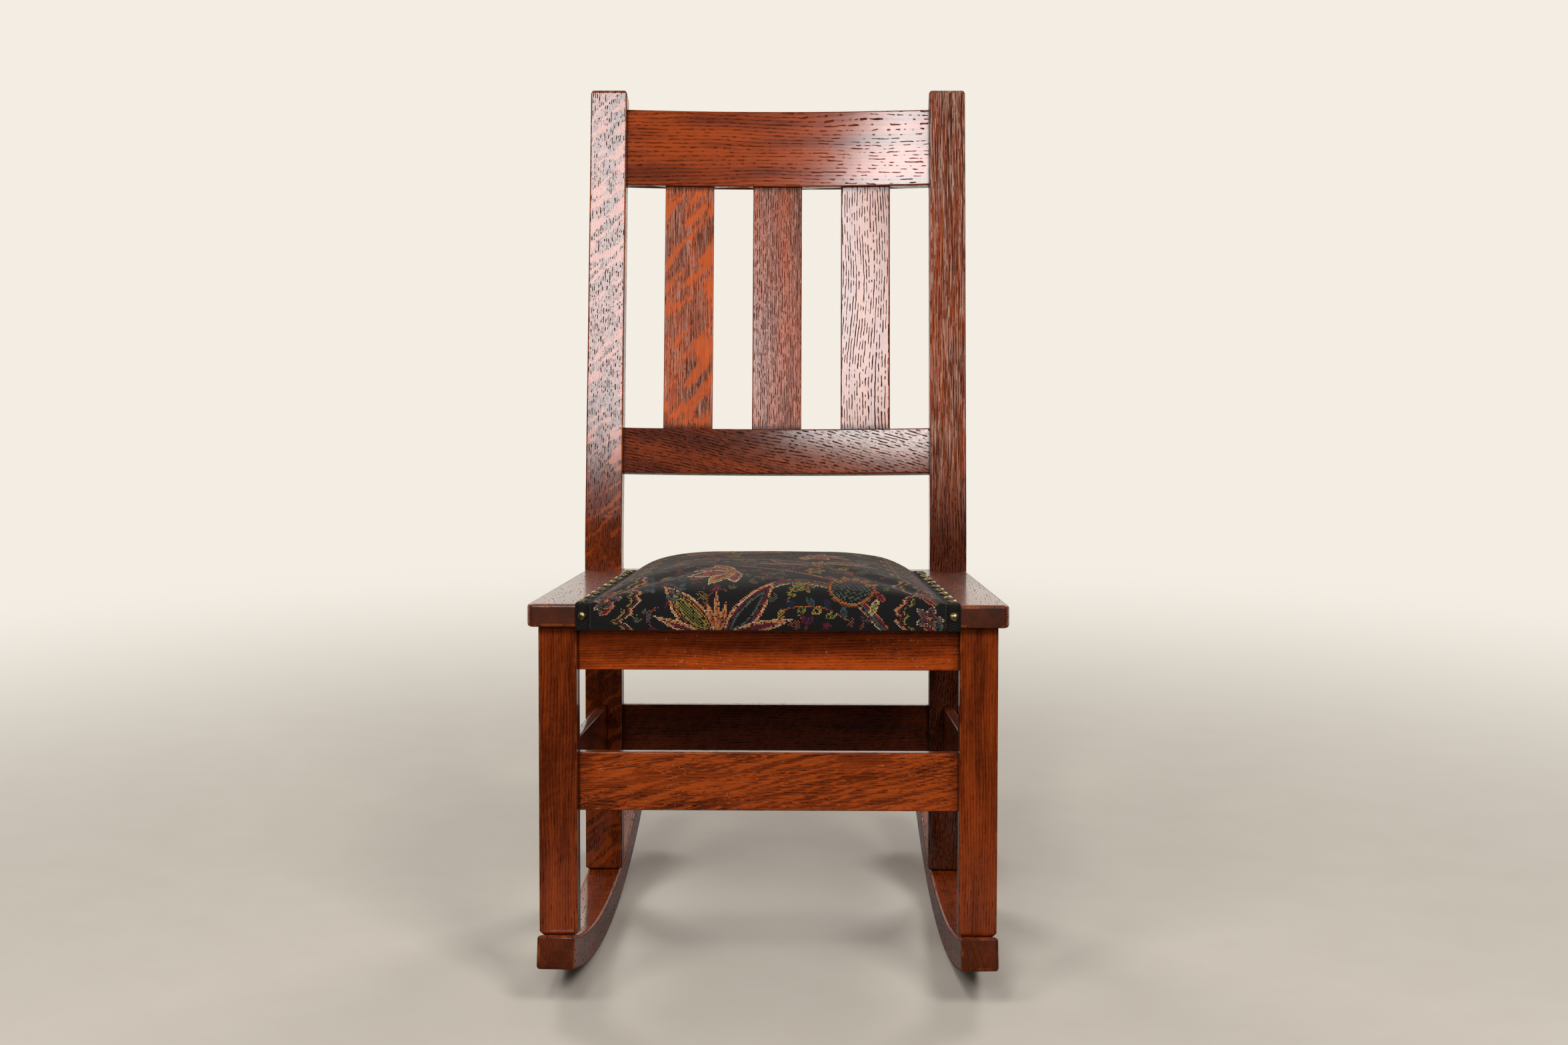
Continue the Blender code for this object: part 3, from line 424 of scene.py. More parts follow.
def make_oak_figure():
    """Figure of fumed oak: pores, fibre and ray flakes, with X along the grain, in millimetres."""
    inputs = [("Point", "Vector"), ("Seed", "Float"), ("Half Length", "Float")]
    inputs += [(label, "Float") for label in PLAIN_OAK]
    outputs = (("Color", "Color"), ("Roughness", "Float"), ("Height", "Float"), ("Varnish", "Float"))
    tree, graph, given = new_group("oak figure", inputs, outputs)
    shift = graph.stretch(graph.join(given["Seed"], given["Seed"], given["Seed"]), OAK_SHIFT)
    point = graph.vector("ADD", graph.turn(given["Point"], given["Turn"]), shift)
    sway = graph.noise(graph.stretch(point, SWAY), detail=1.0)
    x, y, z = graph.split(point)
    grain = graph.join(x, graph.plus(y, graph.times(graph.centred(sway), given["Wander"])), z)
    fibre = graph.noise(graph.stretch(grain, FIBRE), detail=3.0, roughness=0.6)
    strand = graph.noise(graph.stretch(grain, STRAND), detail=3.0, roughness=0.6)
    tone = graph.noise(graph.stretch(point, TONE), detail=3.0, roughness=0.55)
    cloud = graph.noise(graph.stretch(point, CLOUD), detail=1.0)
    # Painted shade low on the rear posts, under the seat; their flakes and painted glints fade there too.
    low = graph.times(graph.band(graph.split(given["Point"])[0], *PAINTED_LOW_SHADE_RUN), given["Painted Low Shade"])
    above = graph.math("SUBTRACT", 1.0, low)

    flake = graph.times(lay_flakes(graph, given, point, fibre, strand, cloud), above)
    open_grain = graph.band(flake, *OPEN_GRAIN)
    pore, early = lay_pores(graph, given, grain, sway)
    pore = graph.times(pore, graph.span(open_grain, FLAKE_PORES, 1.0))
    # Painted highlight: pale streaks in the open grain that stand for glare on the pore walls.
    painted_glint = graph.noise(graph.stretch(grain, GLINT_STREAK), detail=2.0, roughness=0.65)
    painted_glint = graph.times(graph.band(painted_glint, *GLINT_STREAK_EDGE), open_grain)
    painted_glint = graph.times(graph.times(painted_glint, given["Streaks"]), above)
    ripple = graph.noise(graph.stretch(grain, RIPPLE), detail=2.0, roughness=0.6)
    ripple = graph.times(graph.times(graph.band(ripple, *RIPPLE_EDGE), open_grain), given["Ripple"])
    # Dark band at each end of a housed piece: partly grime, partly painted shade in the corner.
    grime_and_shade = lay_grime_and_shade(graph, given, strand)

    shade = graph.plus(graph.band(tone, *TONE_EDGE), given["Tone"])
    for part, reach in ((fibre, FIBRE_SHADE), (strand, STRAND_SHADE), (early, EARLY_SHADE)):
        shade = graph.plus(shade, graph.span(part, -reach, reach))
    color = graph.mix(shade, OAK_DARK, OAK_LIGHT)
    color = graph.mix(graph.times(flake, FLAKE_COVER), color, OAK_FLAKE)
    color = graph.mix(painted_glint, color, OAK_PAINTED_GLINT)
    color = graph.mix(graph.times(ripple, RIPPLE_COVER), color, OAK_PORE)
    color = graph.mix(graph.times(pore, given["Pore Shade"]), color, OAK_PORE)
    color = graph.mix(lay_specks(graph, given, point, cloud), color, OAK_SPECK)
    # Gain brightens or darkens a whole piece: painted light on the apron, painted shade on the back
    # stretcher.
    gain = graph.times(given["Gain"], above)
    color = graph.stretch(color, graph.join(gain, gain, gain))
    color = graph.mix(grime_and_shade, color, OAK_GRIME_AND_SHADE)
    rough = graph.plus(given["Roughness"], graph.times(pore, PORE_ROUGHNESS))
    rough = graph.plus(rough, graph.span(fibre, *FIBRE_ROUGHNESS))
    relief = graph.plus(graph.times(pore, PORE_RELIEF), graph.span(fibre, *FIBRE_RELIEF))
    height = graph.times(relief, graph.span(flake, *FLAKE_RELIEF))
    dull = graph.math("MAXIMUM", graph.times(ripple, RIPPLE_DULL), pore)
    bare = graph.math("MAXIMUM", dull, graph.times(grime_and_shade, GRIME_AND_SHADE_DULL))
    varnish = graph.times(graph.math("SUBTRACT", 1.0, bare), given["Gloss"])
    results = {"Color": color, "Roughness": rough, "Height": height, "Varnish": varnish}
    graph.add("NodeGroupOutput", results)
    return tree


def make_wear():
    """Eased edges rubbed through to brighter wood in broken lengths, and dark end grain."""
    inputs = (("Color", "Color"), ("Edge", "Float"), ("End", "Float"), ("Point", "Vector"),
              ("Wear", "Float"))
    tree, graph, given = new_group("wear and end grain", inputs, (("Color", "Color"),))
    patch = graph.noise(graph.stretch(given["Point"], WEAR_PATCH), detail=4.0, roughness=0.65)
    ended = graph.times(given["End"], graph.span(patch, *END_SHADE))
    color = graph.mix(ended, given["Color"], OAK_END)
    share = graph.times(graph.times(given["Edge"], graph.band(patch, *WEAR_EDGE)), given["Wear"])
    graph.add("NodeGroupOutput", {"Color": graph.mix(share, color, OAK_WORN)})
    return tree


oak_figure = make_oak_figure()
wear = make_wear()


def new_material(name):
    """A material with an empty Principled shader; returns it with its graph and shader."""
    material = bpy.data.materials.new(name)
    material.use_nodes = True
    graph = Graph(material.node_tree)
    return material, graph, material.node_tree.nodes["Principled BSDF"]


def use_group(graph, tree, inputs):
    return graph.add("ShaderNodeGroup", inputs, node_tree=tree).outputs


# Finish and housing of the oak pieces, by the endings of their names.
PLAIN_VARNISH = 0.13
VARNISH = {"crest_rail": 0.11, "lower_back_rail": 0.11, "back_slat": 0.14, "rear_post": 0.11,
           "rocker": 0.14, "seat_plank": 0.17}
PLAIN_SPECULAR = 0.03
SPECULAR = {"seat_plank": 0.24}
CROSS_TENON = 0.009
SIDE_TENON = 0.012
SLAT_TENON = 0.008
TENONS = {"crest_rail": CROSS_TENON, "lower_back_rail": CROSS_TENON, "back_slat": SLAT_TENON,
          "front_seat_rail": CROSS_TENON, "back_seat_rail": CROSS_TENON, "seat_rail": SIDE_TENON,
          "front_stretcher": CROSS_TENON, "back_stretcher": CROSS_TENON, "stretcher": SIDE_TENON}
NO_GRIME_AND_SHADE = 2000.0

# Axes of the grain: along, across and deep, in the frame that carries the piece.
UP = Vector((0, 0, 1))
ACROSS = Vector((1, 0, 0))
REARWARD = Vector((0, 1, 0))
GRAIN = {
    "upright": (UP, ACROSS),
    "cross": (ACROSS, UP),
    "side": (REARWARD, UP),
    "flat": (REARWARD, ACROSS),
    "flat_cross": (ACROSS, REARWARD),
}
OAK_PIECES = (
    ("left_rear_post", "upright", BACK),
    ("right_rear_post", "upright", BACK),
    ("left_back_slat", "upright", BACK),
    ("center_back_slat", "upright", BACK),
    ("right_back_slat", "upright", BACK),
    ("crest_rail", "cross", BACK),
    ("lower_back_rail", "cross", BACK),
    ("left_front_leg", "upright", LEAN),
    ("right_front_leg", "upright", LEAN),
    ("front_seat_rail", "cross", LEAN),
    ("back_seat_rail", "cross", LEAN),
    ("left_seat_rail", "side", LEAN),
    ("right_seat_rail", "side", LEAN),
    ("front_stretcher", "cross", LEAN),
    ("back_stretcher", "cross", LEAN),
    ("left_stretcher", "side", LEAN),
    ("right_stretcher", "side", LEAN),
    ("left_seat_plank", "flat", LEAN),
    ("right_seat_plank", "flat", LEAN),
    ("rear_seat_board", "flat_cross", LEAN),
    ("left_rocker", "side", LEAN),
    ("right_rocker", "side", LEAN),
)
INSIDE_PIECES = (
    ("front_seat_board", "flat_cross"),
    ("left_front_block", "upright"),
    ("right_front_block", "upright"),
    ("left_rear_block", "upright"),
    ("right_rear_block", "upright"),
)
OAK_BUMP = 0.55
OAK_BUMP_DEPTH = 0.0005
OAK_WEAR = 0.40
VARNISH_COVER = 0.88
EDGE_VARNISH_COVER = 0.35
END_GRAIN_LIMIT = 0.75
NARROW_FACE = 0.0022        # an eased edge is a face narrower than this
FLAT_ANGLE = math.radians(0.5)
SHADING_WEIGHT = 80
OAK_SEED_STEP = 1.7
INSIDE_SEED = 50
INSIDE_SEED_STEP = 1.3


def by_ending(name, values, plain):
    """The value of the first ending that a piece's name has."""
    return next((value for ending, value in values.items() if name.endswith(ending)), plain)


def grain_axes(lie, carrier):
    """Axes along the grain, across it on the show face and into the piece."""
    along, across = GRAIN[lie]
    axes = Matrix((along, across, along.cross(across))).transposed()
    return carrier.to_3x3() @ axes


def half_length(name, along):
    """Half of what shows of a housed piece, in millimetres along its grain."""
    tenon = by_ending(name, TENONS, None)
    if tenon is None:
        return NO_GRIME_AND_SHADE
    runs = [knot.co.dot(along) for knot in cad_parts[name].data.vertices]
    return ((max(runs) - min(runs)) / 2 - tenon) / MILLIMETRE


def make_oak(name, lie, carrier, seed):
    """Oak for one piece, its grain laid along the piece."""
    material, graph, shader = new_material("oak_" + name)
    low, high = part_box(name)
    axes = grain_axes(lie, carrier)
    point = graph.laid((low + high) / 2, axes.to_euler(), MILLIMETRE)
    x, y, z = graph.split(point)
    faced = graph.mix(graph.attribute("side_face"), point, graph.join(x, z, y))
    look = {**PLAIN_OAK, **OAK_CUTS.get(name, {})}
    figure = use_group(graph, oak_figure, {"Point": faced, "Seed": seed, **look,
                                           "Half Length": half_length(name, axes.col[0])})
    edge = graph.attribute("arris")
    worn = use_group(graph, wear, {"Color": figure["Color"], "Edge": edge, "Point": point,
                                   "End": graph.attribute("end_grain"), "Wear": OAK_WEAR})
    cover = graph.span(edge, VARNISH_COVER, EDGE_VARNISH_COVER)
    graph.dress(shader, {
        "Base Color": worn["Color"],
        "Roughness": figure["Roughness"],
        "Coat Weight": graph.times(figure["Varnish"], cover),
        "Coat Roughness": by_ending(name, VARNISH, PLAIN_VARNISH),
        "Specular IOR Level": by_ending(name, SPECULAR, PLAIN_SPECULAR),
        "Normal": graph.bump(figure["Height"], OAK_BUMP, OAK_BUMP_DEPTH),
    })
    return material


def to_object(name, shape, material, slot, *nodes):
    """A finished piece from a bmesh: it rides the chair and stands for its CAD nodes."""
    mesh = bpy.data.meshes.new(name)
    shape.to_mesh(mesh)
    shape.free()
    mesh.shade_smooth()
    mesh.materials.append(material)
    piece = bpy.data.objects.new(name, mesh)
    bpy.context.scene.collection.objects.link(piece)
    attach(piece, "root")
    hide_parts(*nodes)
    return piece


FACE_MARKS = ("arris", "end_grain", "side_face")


def mark_faces(mesh, axes):
    """Corner attributes of eased edges, of ends of the grain and of the faces beside the show face."""
    along, across, deep = axes.col
    for label in FACE_MARKS:
        mesh.attributes.new(label, "FLOAT", "CORNER")
    arris, end_grain, side_face = (mesh.attributes[label].data for label in FACE_MARKS)
    for face in mesh.polygons:
        corners = [mesh.vertices[number].co for number in face.vertices]
        longest = max((a - b).length for a, b in zip(corners, corners[1:] + corners[:1]))
        eased = face.area / longest < NARROW_FACE
        ended = abs(face.normal.dot(along)) > END_GRAIN_LIMIT
        beside = abs(face.normal.dot(across)) > abs(face.normal.dot(deep))
        for corner in face.loop_indices:
            arris[corner].value = float(eased)
            end_grain[corner].value = float(ended)
            side_face[corner].value = float(beside)


def make_oak_piece(name, lie, carrier, seed, slot):
    """The solid's own form with shared corners, eased shading and marked edges."""
    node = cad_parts[name]
    shape = bmesh.new()
    shape.from_mesh(node.data)
    bmesh.ops.remove_doubles(shape, verts=shape.verts, dist=MERGE)
    bmesh.ops.dissolve_limit(shape, angle_limit=FLAT_ANGLE, verts=shape.verts, edges=shape.edges)
    piece = to_object(name + "_oak", shape, make_oak(name, lie, carrier, seed), slot, name)
    mark_faces(piece.data, grain_axes(lie, carrier))
    shading = piece.modifiers.new("even_shading", "WEIGHTED_NORMAL")
    shading.weight = SHADING_WEIGHT


def make_woodwork():
    for number, (name, lie, carrier) in enumerate(OAK_PIECES):
        make_oak_piece(name, lie, carrier, number * OAK_SEED_STEP, "oak")
    for number, (name, lie) in enumerate(INSIDE_PIECES):
        make_oak_piece(name, lie, LEAN, INSIDE_SEED + number * INSIDE_SEED_STEP, "oak_inside")


def pad_half(y):
    return PAD_FRONT_HALF - (y - SEAT_FRONT) * math.tan(PAD_TAPER)


def cover_half(y):
    return pad_half(max(y, SEAT_FRONT)) - GIMP_WIDTH - FIT_GAP


def pad_height(across, y):
    """Height of the pad above the seat boards; across runs from -1 to 1."""
    front = min(1, max(0, (y - SEAT_FRONT) / PAD_ROLL))
    rear = min(1, max(0, (PAD_REAR - y) / PAD_ROLL))
    ridge = PAD_FRONT_HEIGHT + (PAD_CROWN - PAD_FRONT_HEIGHT) * (1 - (1 - front) ** PAD_ROLL_POWER)
    return ridge * (1 - abs(across) ** PAD_SIDE_POWER) * (1 - (1 - rear) ** PAD_ROLL_POWER)


def shape_pad():
    """The cover before it swells: a grid laid over the seat and down its front edge."""
    shape = bmesh.new()
    shape.loops.layers.uv.new("cloth")
    bmesh.ops.create_grid(shape, x_segments=PAD_COLUMNS, y_segments=PAD_ROWS, size=1, calc_uvs=True)
    lift = SEAT_HEIGHT + FIT_GAP + COVER_THICKNESS
    front = SEAT_FRONT - FIT_GAP - COVER_THICKNESS
    near_corner = []
    for knot in shape.verts:
        across = knot.co.x
        row = (1 + knot.co.y) / 2 * PAD_ROWS
        if row >= PAD_WALL_ROWS:
            y = front + (PAD_REAR - front) * (row - PAD_WALL_ROWS) / PAD_TOP_ROWS
            z = lift + PAD_START * pad_height(across, y)
        else:
            drop = 1 - row / PAD_WALL_ROWS
            edge = lift + PAD_START * pad_height(across, front)
            y = front - PAD_FRONT_BELLY * (1 - across ** 2) * math.sin(math.pi * drop)
            z = edge + (PAD_HEM - edge) * drop
        knot.co = (across * cover_half(y), y, z)
        if abs(row - PAD_WALL_ROWS) < CORNER_ROWS and not knot.is_boundary:
            near_corner.append(knot)
    for _ in range(CORNER_PASSES):
        bmesh.ops.smooth_vert(shape, verts=near_corner, factor=0.5, use_axis_y=True, use_axis_z=True)
    return shape


def fold_behind(place):
    """The raw edge of the cover turned back: behind the front wall, or under the edge."""
    if place.y < SEAT_FRONT:
        return Vector((place.x, SEAT_FRONT - FIT_GAP, place.z))
    return Vector((place.x, place.y, SEAT_HEIGHT + FIT_GAP))


def fold_up(place):
    """The turned edge raised to the seat's top."""
    return Vector((place.x, place.y, SEAT_HEIGHT + FIT_GAP))


def tuck_in(place):
    """The underside drawn in over the webbing."""
    y = min(max(place.y, SEAT_FRONT + PAD_TUCK), PAD_REAR - PAD_TUCK)
    return Vector((place.x * (1 - PAD_TUCK / PAD_FRONT_HALF), y, PAD_FLOOR))


def highest_knots(part):
    """The numbers of an edge's or face's knots, highest first: the cover's own come before its folds."""
    return sorted((knot.index for knot in part.verts), reverse=True)


def drawn_from(knot):
    """The number of the knot that this one of a new fold was drawn from."""
    return min(edge.other_vert(knot).index for edge in knot.link_edges)


def set_order(shape, older):
    """One order of a new fold's parts, which the operator leaves to chance, so that each run swells alike."""
    shape.verts.index_update()
    for number, knot in enumerate(sorted(shape.verts[older:], key=drawn_from), older):
        knot.index = number
    shape.verts.sort()
    for parts in (shape.edges, shape.faces):
        for number, part in enumerate(sorted(parts, key=highest_knots)):
            part.index = number
        parts.sort()


def close_pad(shape):
    """Turns the cover's edges under and closes the pad from below."""
    rim = [edge for edge in shape.edges if edge.is_boundary]
    for fold in (fold_behind, fold_up, tuck_in):
        older = len(shape.verts)
        bmesh.ops.extrude_edge_only(shape, edges=rim)
        set_order(shape, older)
        for knot in shape.verts[older:]:
            knot.co = fold(knot.co)
        rim = [edge for edge in shape.edges if edge.is_boundary]
    bmesh.ops.remove_doubles(shape, verts=shape.verts, dist=MERGE)
    bmesh.ops.dissolve_degenerate(shape, edges=shape.edges, dist=MERGE)
    rim = [edge for edge in shape.edges if edge.is_boundary]
    bmesh.ops.edgeloop_fill(shape, edges=rim)
    bmesh.ops.recalc_face_normals(shape, faces=shape.faces)


def swell(piece, held):
    """Blows the pad up as stuffed cloth, held where it is nailed and tucked, and keeps the result."""
    start = [knot.co.copy() for knot in piece.data.vertices]
    pins = piece.vertex_groups.new(name="held")
    pins.add(held, 1.0, "REPLACE")
    cloth = piece.modifiers.new("stuffed", "CLOTH")
    cloth.settings.quality = CLOTH_QUALITY
    cloth.settings.vertex_group_mass = "held"
    cloth.settings.use_pressure = True
    cloth.settings.uniform_pressure_force = PAD_PRESSURE
    cloth.settings.effector_weights.gravity = 0
    cloth.settings.tension_stiffness = CLOTH_STIFFNESS
    cloth.settings.compression_stiffness = CLOTH_STIFFNESS
    cloth.settings.bending_stiffness = CLOTH_BENDING
    cloth.point_cache.frame_start = 1
    cloth.point_cache.frame_end = PAD_FRAMES
    for number in range(1, PAD_FRAMES + 1):
        bpy.context.scene.frame_set(number)
    swollen = piece.evaluated_get(bpy.context.evaluated_depsgraph_get()).data
    places = [knot.co.copy() for knot in swollen.vertices]
    piece.modifiers.remove(cloth)
    piece.vertex_groups.clear()
    for knot, before, after in zip(piece.data.vertices, start, places):
        move = after - before
        if move.length > PAD_SWELL_LIMIT:
            move *= PAD_SWELL_LIMIT / move.length
        knot.co = before + move
    bpy.context.scene.frame_set(1)


def refine(piece):
    """One face per stitch: smooth subdivision of the swollen pad without its underside, then closed."""
    shape = bmesh.new()
    shape.from_mesh(piece.data)
    underside = max(shape.faces, key=lambda face: len(face.verts))
    bmesh.ops.delete(shape, geom=[underside], context="FACES_ONLY")
    shape.to_mesh(piece.data)
    shape.free()
    fine = piece.modifiers.new("stitches", "SUBSURF")
    fine.levels = PAD_FINE_LEVELS
    fine.render_levels = PAD_FINE_LEVELS
    fine.uv_smooth = "NONE"
    made = piece.evaluated_get(bpy.context.evaluated_depsgraph_get())
    piece.data = bpy.data.meshes.new_from_object(made)
    piece.modifiers.clear()
    shape = bmesh.new()
    shape.from_mesh(piece.data)
    closed = bmesh.ops.edgeloop_fill(shape, edges=[edge for edge in shape.edges if edge.is_boundary])
    for face in closed["faces"]:
        face.material_index = 1
    bmesh.ops.recalc_face_normals(shape, faces=shape.faces)
    shape.to_mesh(piece.data)
    shape.free()


def make_pad():
    shape = shape_pad()
    cover = shape.faces[:]
    close_pad(shape)
    for face in shape.faces:
        face.material_index = 1
    for face in cover:
        face.material_index = 0
    shape.verts.index_update()
    held = [knot.index for knot in shape.verts
            if any(face.material_index for face in knot.link_faces)]
    pad = to_object("seat_pad", shape, tapestry, "tapestry", "seat_cover", "seat_stuffing")
    pad.data.materials.append(cambric)
    swell(pad, held)
    refine(pad)
    pad.data.transform(LEAN)
    pad.data.shade_smooth()
    return pad


# The tapestry's motifs, in millimetres, degrees and shares of a motif's size.
THREAD_NAMES = tuple(THREADS)
CLOTH_WIDTH = 2 * METRE * (PAD_FRONT_HALF - GIMP_WIDTH - FIT_GAP)
CLOTH_LENGTH = METRE * PAD_CELL * PAD_ROWS
STITCH_SEED = 7
STITCH_DROPPED = 0.12
STITCH_SHADES = (0.65, 1.25)
PATH_STEPS = 90
LEAF_POINT = 0.75
LEAF_FULLNESS = 0.85
LEAF_RIM = 1.4
PETAL_DIP = 0.24
TWIG_HALF = 0.7
GARLAND_STEPS = range(8, PATH_STEPS, 11)
GARLAND_BACK = 4
GARLAND_TURN = 48
GARLAND_SLIM = 0.6
LILY_SLIM = 0.46
LILY_CALYX = 0.2
SPRIG_STEPS = (0.3, 0.58, 0.84)
SPRIG_TURN = 50
FRUIT_SEED = 2.5
FRUIT_CROWN = (-56, -28, 0, 28, 56)
FRUIT_CROWN_BASE = 0.6
FILL_STEP = 11.0
FILL_STRAY = 4
FILL_START = 7
FILL_MARGIN = 40
FILL_CLEAR = 6.0
FILL_BUSY = 0.03
FILL_BUD = 4.6
FILL_LEAF = (9.5, 5)
FILL_TAIL = (8, 3)
FILL_TURN = 35
BORDER_PITCH = 46.0
BORDER_LOBE = 11.5
BORDER_DEPTH = 27
BORDER_WAVE = 15
BORDER_RIPPLE = 3.4
BORDER_SHIFT = 9
BORDER_FLOWERS = 10
BLOSSOM_SIZE = 13.5
BLOSSOM_INWARD = 15
BUD_INWARD = 9
BUD_APART = 15


def curve(points):
    """Places along a smooth curve of four points."""
    share = np.linspace(0, 1, PATH_STEPS)[:, None]
    rest = 1 - share
    first, second, third, last = (np.array(point, float) for point in points)
    return (first * rest ** 3 + 3 * second * share * rest ** 2
            + 3 * third * share ** 2 * rest + last * share ** 3)


class Weaver:
    """Chooses the thread of every stitch, by its place on the cloth in millimetres."""

    def __init__(self, across, along, turns):
        self.across = across
        self.along = along
        self.turns = turns
        self.threads = np.zeros(across.size, dtype=int)

    def lay(self, where, thread):
        """Lays a thread; two names joined by + take turns from stitch to stitch."""
        names = thread.split("+")
        first = THREAD_NAMES.index(names[0])
        last = THREAD_NAMES.index(names[-1])
        self.threads[where] = np.where(self.turns[where], first, last)

    def seen_from(self, place, heading):
        """Distances along a heading that starts at a place, and to its left."""
        right = self.across - place[0]
        up = self.along - place[1]
        cos = math.cos(math.radians(heading))
        sin = math.sin(math.radians(heading))
        return right * cos + up * sin, up * cos - right * sin

    def leaf(self, place, heading, length, width, bands, bend=0.0):
        """A pointed leaf or petal; bands are (depth from its edge, thread)."""
        along, aside = self.seen_from(place, heading)
        run = np.clip(along / length, 0, 1)
        aside = aside - bend * np.sin(math.pi * run)
        half = width / 2 * np.sin(math.pi * run ** LEAF_POINT) ** LEAF_FULLNESS
        depth = np.where((along > 0) & (along < length), half - np.abs(aside), -1)
        for limit, thread in bands:
            self.lay(depth > limit, thread)

    def stem(self, points, bands):
        """A stem along a curve of four points; bands are (from, to, thread), left of the curve."""
        path = curve(points)
        reach = max(max(abs(low), abs(high)) for low, high, _ in bands) + 1
        low = path.min(axis=0) - reach
        high = path.max(axis=0) + reach
        close = np.flatnonzero((self.across > low[0]) & (self.across < high[0])
                               & (self.along > low[1]) & (self.along < high[1]))
        spots = np.stack((self.across[close], self.along[close]), axis=1)
        offsets = spots[:, None, :] - path[None]
        gaps = np.hypot(offsets[:, :, 0], offsets[:, :, 1])
        nearest = gaps.argmin(axis=1)
        ahead = np.gradient(path, axis=0)[nearest]
        offset = offsets[np.arange(nearest.size), nearest]
        aside = np.sign(ahead[:, 0] * offset[:, 1] - ahead[:, 1] * offset[:, 0]) * gaps.min(axis=1)
        inner = (nearest > 0) & (nearest < PATH_STEPS - 1)
        for low, high, thread in bands:
            self.lay(close[inner & (aside > low) & (aside < high)], thread)

    def rosette(self, place, size, petals, bands):
        """A small flower; bands are (share of its size, thread) from the outside in."""
        right, up = self.seen_from(place, 0)
        reach = np.hypot(right, up) / size
        edge = 1 - PETAL_DIP + PETAL_DIP * np.cos(petals * np.arctan2(up, right))
        for share, thread in bands:
            self.lay(reach < share * edge, thread)

    def garland(self, points, size, threads):
        """Small leaves of several colours, by turns on either side of a thin curved twig."""
        self.stem(points, ((-TWIG_HALF, TWIG_HALF, "rust"),))
        path = curve(points)
        for number, step in enumerate(GARLAND_STEPS):
            right, up = path[step] - path[step - GARLAND_BACK]
            heading = math.degrees(math.atan2(up, right))
            thread = threads[number % len(threads)]
            turn = GARLAND_TURN if number % 2 else -GARLAND_TURN
            self.leaf(path[step], heading + turn, size, size * GARLAND_SLIM,
                      ((0, thread), (LEAF_RIM, thread + "+ground")))

    def lily(self, place, heading, size):
        """An open flower seen from the side: five long petals in three colours and a calyx."""
        for turn, reach, bands in LILY_PETALS:
            self.leaf(place, heading + turn, size * reach, size * LILY_SLIM, bands)
        self.rosette(place, size * LILY_CALYX, 6, ((1.0, "gold"), (0.6, "rust")))

    def fruit(self, place, heading, size):
        """A round seeded fruit with a crown, as on old crewel work."""
        along, aside = self.seen_from(place, heading)
        reach = np.hypot(along, aside) / size
        for share, thread in FRUIT_BANDS:
            self.lay(reach < share, thread)
        checks = np.floor(along / FRUIT_SEED) + np.floor(aside / FRUIT_SEED)
        self.lay((reach < FRUIT_BANDS[-1][0]) & (np.mod(checks, 2) == 0), "ground")
        self.lay((reach < 1.0) & (along > 0.30 * size), "burgundy")
        self.lay((reach < 0.92) & (along > 0.42 * size), "navy+teal")
        for turn in FRUIT_CROWN:
            base = (place[0] + FRUIT_CROWN_BASE * size * math.cos(math.radians(heading + turn)),
                    place[1] + FRUIT_CROWN_BASE * size * math.sin(math.radians(heading + turn)))
            self.leaf(base, heading + turn, 0.62 * size, 0.3 * size, ((0, "gold"), (1.3, "rust")))

    def border(self, side):
        """A scalloped band along one side of the cover, with blossoms and leaves inside it."""
        inward = CLOTH_WIDTH / 2 - side * self.across
        run = self.along + BORDER_SHIFT * side
        scallop = (BORDER_DEPTH + BORDER_WAVE * np.abs(np.sin(math.pi * run / BORDER_PITCH))
                   + BORDER_RIPPLE * np.abs(np.sin(math.pi * run / BORDER_LOBE)))
        depth = scallop - inward
        for limit, thread in BORDER_BANDS:
            self.lay(depth > limit, thread)
        for number in range(BORDER_FLOWERS):
            middle = BORDER_PITCH * (number + 0.5) - BORDER_SHIFT * side
            spot = (side * (CLOTH_WIDTH / 2 - BLOSSOM_INWARD), middle)
            self.rosette(spot, BLOSSOM_SIZE, 5, BLOSSOM)
            for turn in (-1, 1):
                bud = (side * (CLOTH_WIDTH / 2 - BUD_INWARD), middle + turn * BUD_APART)
                self.leaf(bud, 90 + turn * 20, 14, 8, ((0, "sage"), (1.6, "teal+ground")))
                self.leaf(bud, 90 + side * 62, 15, 7, ((0, "orange+rust"), (1.7, "burgundy")))

    def sprig(self, place, heading, size, threads):
        """A twig with three pairs of small leaves and one at the tip."""
        right = size * math.cos(math.radians(heading))
        up = size * math.sin(math.radians(heading))
        tip = (place[0] + right, place[1] + up)
        knee = (place[0] + 0.5 * right - 0.1 * up, place[1] + 0.5 * up + 0.1 * right)
        self.stem((place, knee, knee, tip), ((-TWIG_HALF, TWIG_HALF, threads[0]),))
        bands = ((0, threads[1]), (LEAF_RIM, threads[2]))
        for step in SPRIG_STEPS:
            base = (place[0] + step * right, place[1] + step * up)
            for turn in (-SPRIG_TURN, SPRIG_TURN):
                self.leaf(base, heading + turn, size * 0.30, size * 0.17, bands)
        self.leaf(tip, heading, size * 0.32, size * 0.18, bands)

